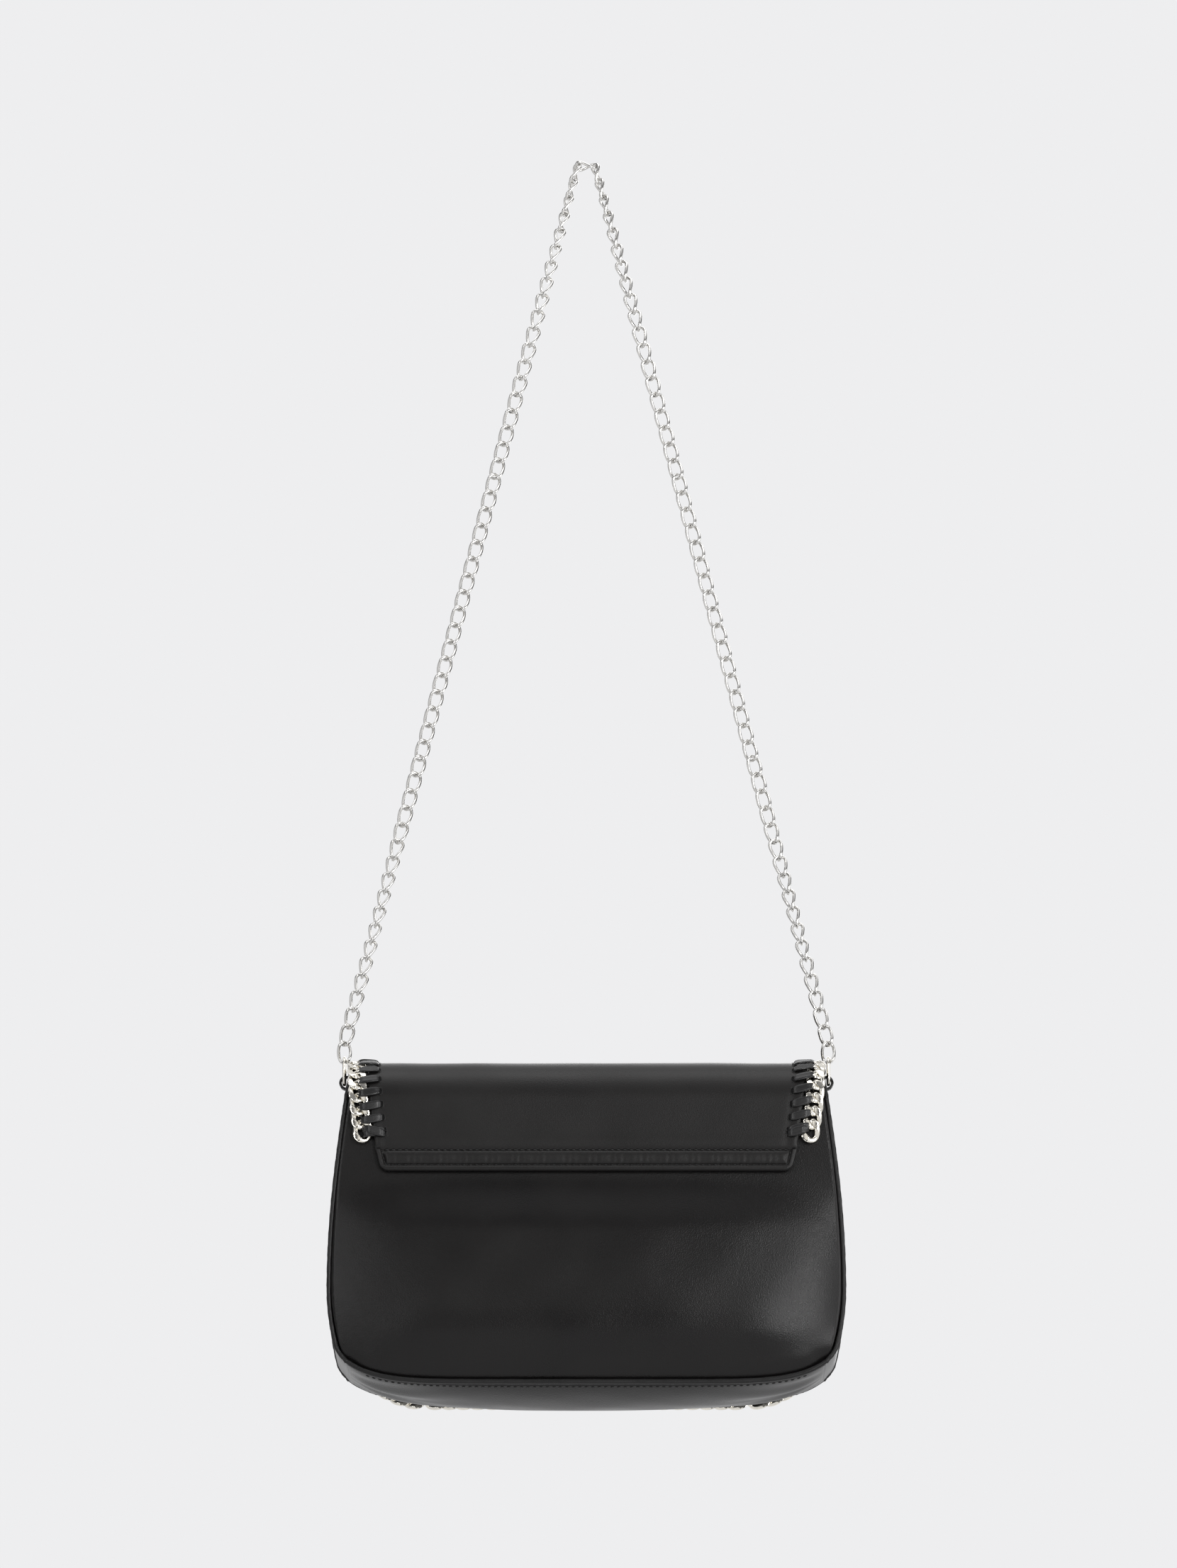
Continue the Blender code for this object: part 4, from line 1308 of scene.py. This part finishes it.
def make_edge(name, path, body, base, rings, sway, tail=False):
    place, length = path
    centres = trim_centres(place, length)
    shift = Matrix.Translation(bag_origin)
    links = []
    for d in centres:
        grip, _ = edge_frame(place, d, trim_gap + trim_width / 2, -flap_thickness / 2)
        links.append(shift @ grip)
    form = chain_shape(links, base, *rings)
    dress("edge_chain_" + name, "_cut", form, nickel, body, 0.55)
    steps = [after - d for d, after in zip(centres, centres[1:])] + [0.0]
    wraps = [wrap_shape(place, d, step, sway) for d, step in zip(centres, steps)]
    if tail:
        spare = centres[0] + last_wrap_shift
        wraps.append(wrap_shape(place, spare, 0.0, 0.0, last_wrap_lift, last_wrap_lean))
        centres.append(spare)
    dress("lace_" + name, "_wraps", lace_form(wraps), lace_leather, body, 1.2)
    form = lace_form([hole_shape(place, d) for d in centres])
    more = (hole_painted_shade,)
    made = add_piece("lace_holes_" + name, form, smooth_leather, body, closed=False, materials=more)
    # The disc closing each hole's opening takes the near-black painted shade for the hole's depth.
    for polygon in made.data.polygons:
        if len(polygon.vertices) > 4:
            polygon.material_index = 1


def make_edges():
    half_width = (trim_width - trim_wire) / 2
    half_length = (trim_pitch + trim_wire * 0.86) / 2
    power = trim_link_power
    lift = clearing_lift(half_length, half_width, trim_pitch, trim_apart, power)
    rings = 44, 14
    base = link_shape(
        half_length, half_width, -lift, trim_wire / 2, power, *rings, lift + trim_cut, trim_wire_squeeze
    )
    back_low = -(bend_reach + trim_back_drop - flap_bend_radius)
    for side, word in hands:
        back = side_path(side, back_low, fold_depth - clear)
        sway = -0.0021 if side < 0 else 0.0013
        make_edge("back_" + word, back, "bag_body", base, rings, sway, True)
        top = side_path(side, fold_depth + clear, bend_reach - clear)
        make_edge("top_" + word, top, "flap_top", base, rings, sway)
        make_edge("front_" + word, front_path(side), "flap_front", base, rings, sway)
    make_edge("front_bottom", bottom_path(), "flap_front", base, rings, 0.0015)


# Stage, light and camera


def any_ray(tree, first, *others):
    """1 for rays of the named kinds, and 0 for all others."""
    found = add_node(tree, "LightPath", {}, f"Is {first} Ray")
    for kind in others:
        found = combine(tree, "MAXIMUM", found, add_node(tree, "LightPath", {}, f"Is {kind} Ray"))
    return found


def make_floor():
    made, tree, shader = new_material("pale_floor")
    shown = any_ray(tree, "Camera", "Glossy", "Transmission")
    inputs = {
        "Base Color": floor_tone,
        "Roughness": 0.9,
        "Emission Color": (1, 1, 1.01, 1),
        "Emission Strength": combine(tree, "MULTIPLY", shown, floor_glow),
    }
    fill(tree, shader, inputs)
    data = bpy.data.meshes.new("studio_floor")
    corners = ((-1, -1), (1, -1), (1, 1), (-1, 1))
    verts = [(x * floor_reach, y * floor_reach, -floor_drop) for x, y in corners]
    data.from_pydata(verts, [], [(0, 1, 2, 3)])
    data.materials.append(made)
    add_object("studio_floor", data)


def background(tree, color, strength=1.0):
    return add_node(tree, "Background", {"Color": color, "Strength": strength})


def mixed_color(tree, fac, first, second):
    return add_node(tree, "MixRGB", {"Fac": fac, "Color1": first, "Color2": second})


def mixed_shader(tree, fac, first, second):
    return add_node(tree, "MixShader", {0: fac, 1: first, 2: second})


def make_room():
    """The room is pale. Its end behind the photographer is unlit but for one high window of light, and a
    tall dark flag stands at either side, which draws the metal's edges."""
    world = bpy.data.worlds.new("studio")
    bpy.context.scene.world = world
    world.use_nodes = True
    tree = world.node_tree
    tree.nodes.clear()
    way = add_node(tree, "TexCoord", {}, "Generated")
    x, y = (add_node(tree, "SeparateXYZ", {"Vector": way}, axis) for axis in "XY")
    aside = add_node(tree, "Math", {0: x}, operation="ABSOLUTE")
    flags = ramp(tree, aside, ((0.0, pale), (0.70, pale), (0.78, dark), (0.92, dark), (0.98, pale)))
    unlit = span(tree, combine(tree, "MULTIPLY", y, -1.0), 0.0, 1.0, 0.64, 0.89)
    ended = mixed_color(tree, unlit, flags, unlit_end)
    aim = add_node(tree, "VectorMath", {0: way, 1: window_way}, "Value", operation="DOT_PRODUCT")
    room = mixed_color(tree, span(tree, aim, 0.0, 1.0, 0.984, 0.991), ended, window)
    ambient = background(tree, (1, 1, 1, 1), ambient_strength)
    lit = mixed_shader(tree, any_ray(tree, "Glossy"), ambient, background(tree, room))
    direct = any_ray(tree, "Camera", "Transmission")
    shown = mixed_shader(tree, direct, lit, background(tree, (*pale, 1)))
    fill(tree, tree.nodes.new("ShaderNodeOutputWorld"), {"Surface": shown})


def put(made, spot, way):
    """Sets a lamp or the camera at a spot, to look along the way."""
    made.location = spot
    made.rotation_mode = "QUATERNION"
    made.rotation_quaternion = way.to_track_quat("-Z", "Y")


def add_light(name, spot, size, size_y, watts, target=(0, 0, -0.45)):
    data = bpy.data.lights.new(name, "AREA")
    data.shape = "RECTANGLE"
    data.size = size
    data.size_y = size_y
    data.energy = watts
    made = add_object(name, data)
    put(made, spot, Vector(target) - Vector(spot))
    made.visible_camera = False


lamps = (
    # name, place, width, height, power and, for the last, another target
    ("softbox_left", (-1.5, -1.7, 0.1), 0.4, 1.6, 7),
    ("softbox_edge", (-1.05, -2.5, -0.3), 0.24, 1.6, 5),
    ("softbox_right", (1.7, -1.0, -0.5), 0.9, 1.5, 14),
    ("softbox_front", (0.98, -2.5, -0.3), 0.22, 1.6, 21),
    ("softbox_top", (0, -0.3, 1.3), 1.4, 1.0, 7),
    ("softbox_rear", (0.4, 1.8, 0.3), 1.4, 1.4, 8),
    ("softbox_low", (0.0, 0.45, -1.45), 1.5, 1.0, 1.6, (0, 0, -0.6)),
)


def make_lights():
    for lamp in lamps:
        add_light(*lamp)


def make_camera():
    data = bpy.data.cameras.new("photo_camera")
    camera = add_object("photo_camera", data)
    view = Vector(view_way).normalized()
    put(camera, Vector(view_target) - view * view_distance, view)
    data.sensor_fit = "VERTICAL"
    data.sensor_height = 36
    data.lens = 235.7
    data.clip_start = 0.05
    data.clip_end = 50
    bpy.context.scene.camera = camera


bpy.context.scene.view_settings.view_transform = "Standard"
make_camera()
make_strap()
make_connectors()
make_panels()
make_gussets()
make_piping()
make_lining()
make_tabs()
make_flap()
make_flap_lining()
make_band()
make_snap()
make_edges()
make_floor()
make_room()
make_lights()

bpy.context.view_layer.update()
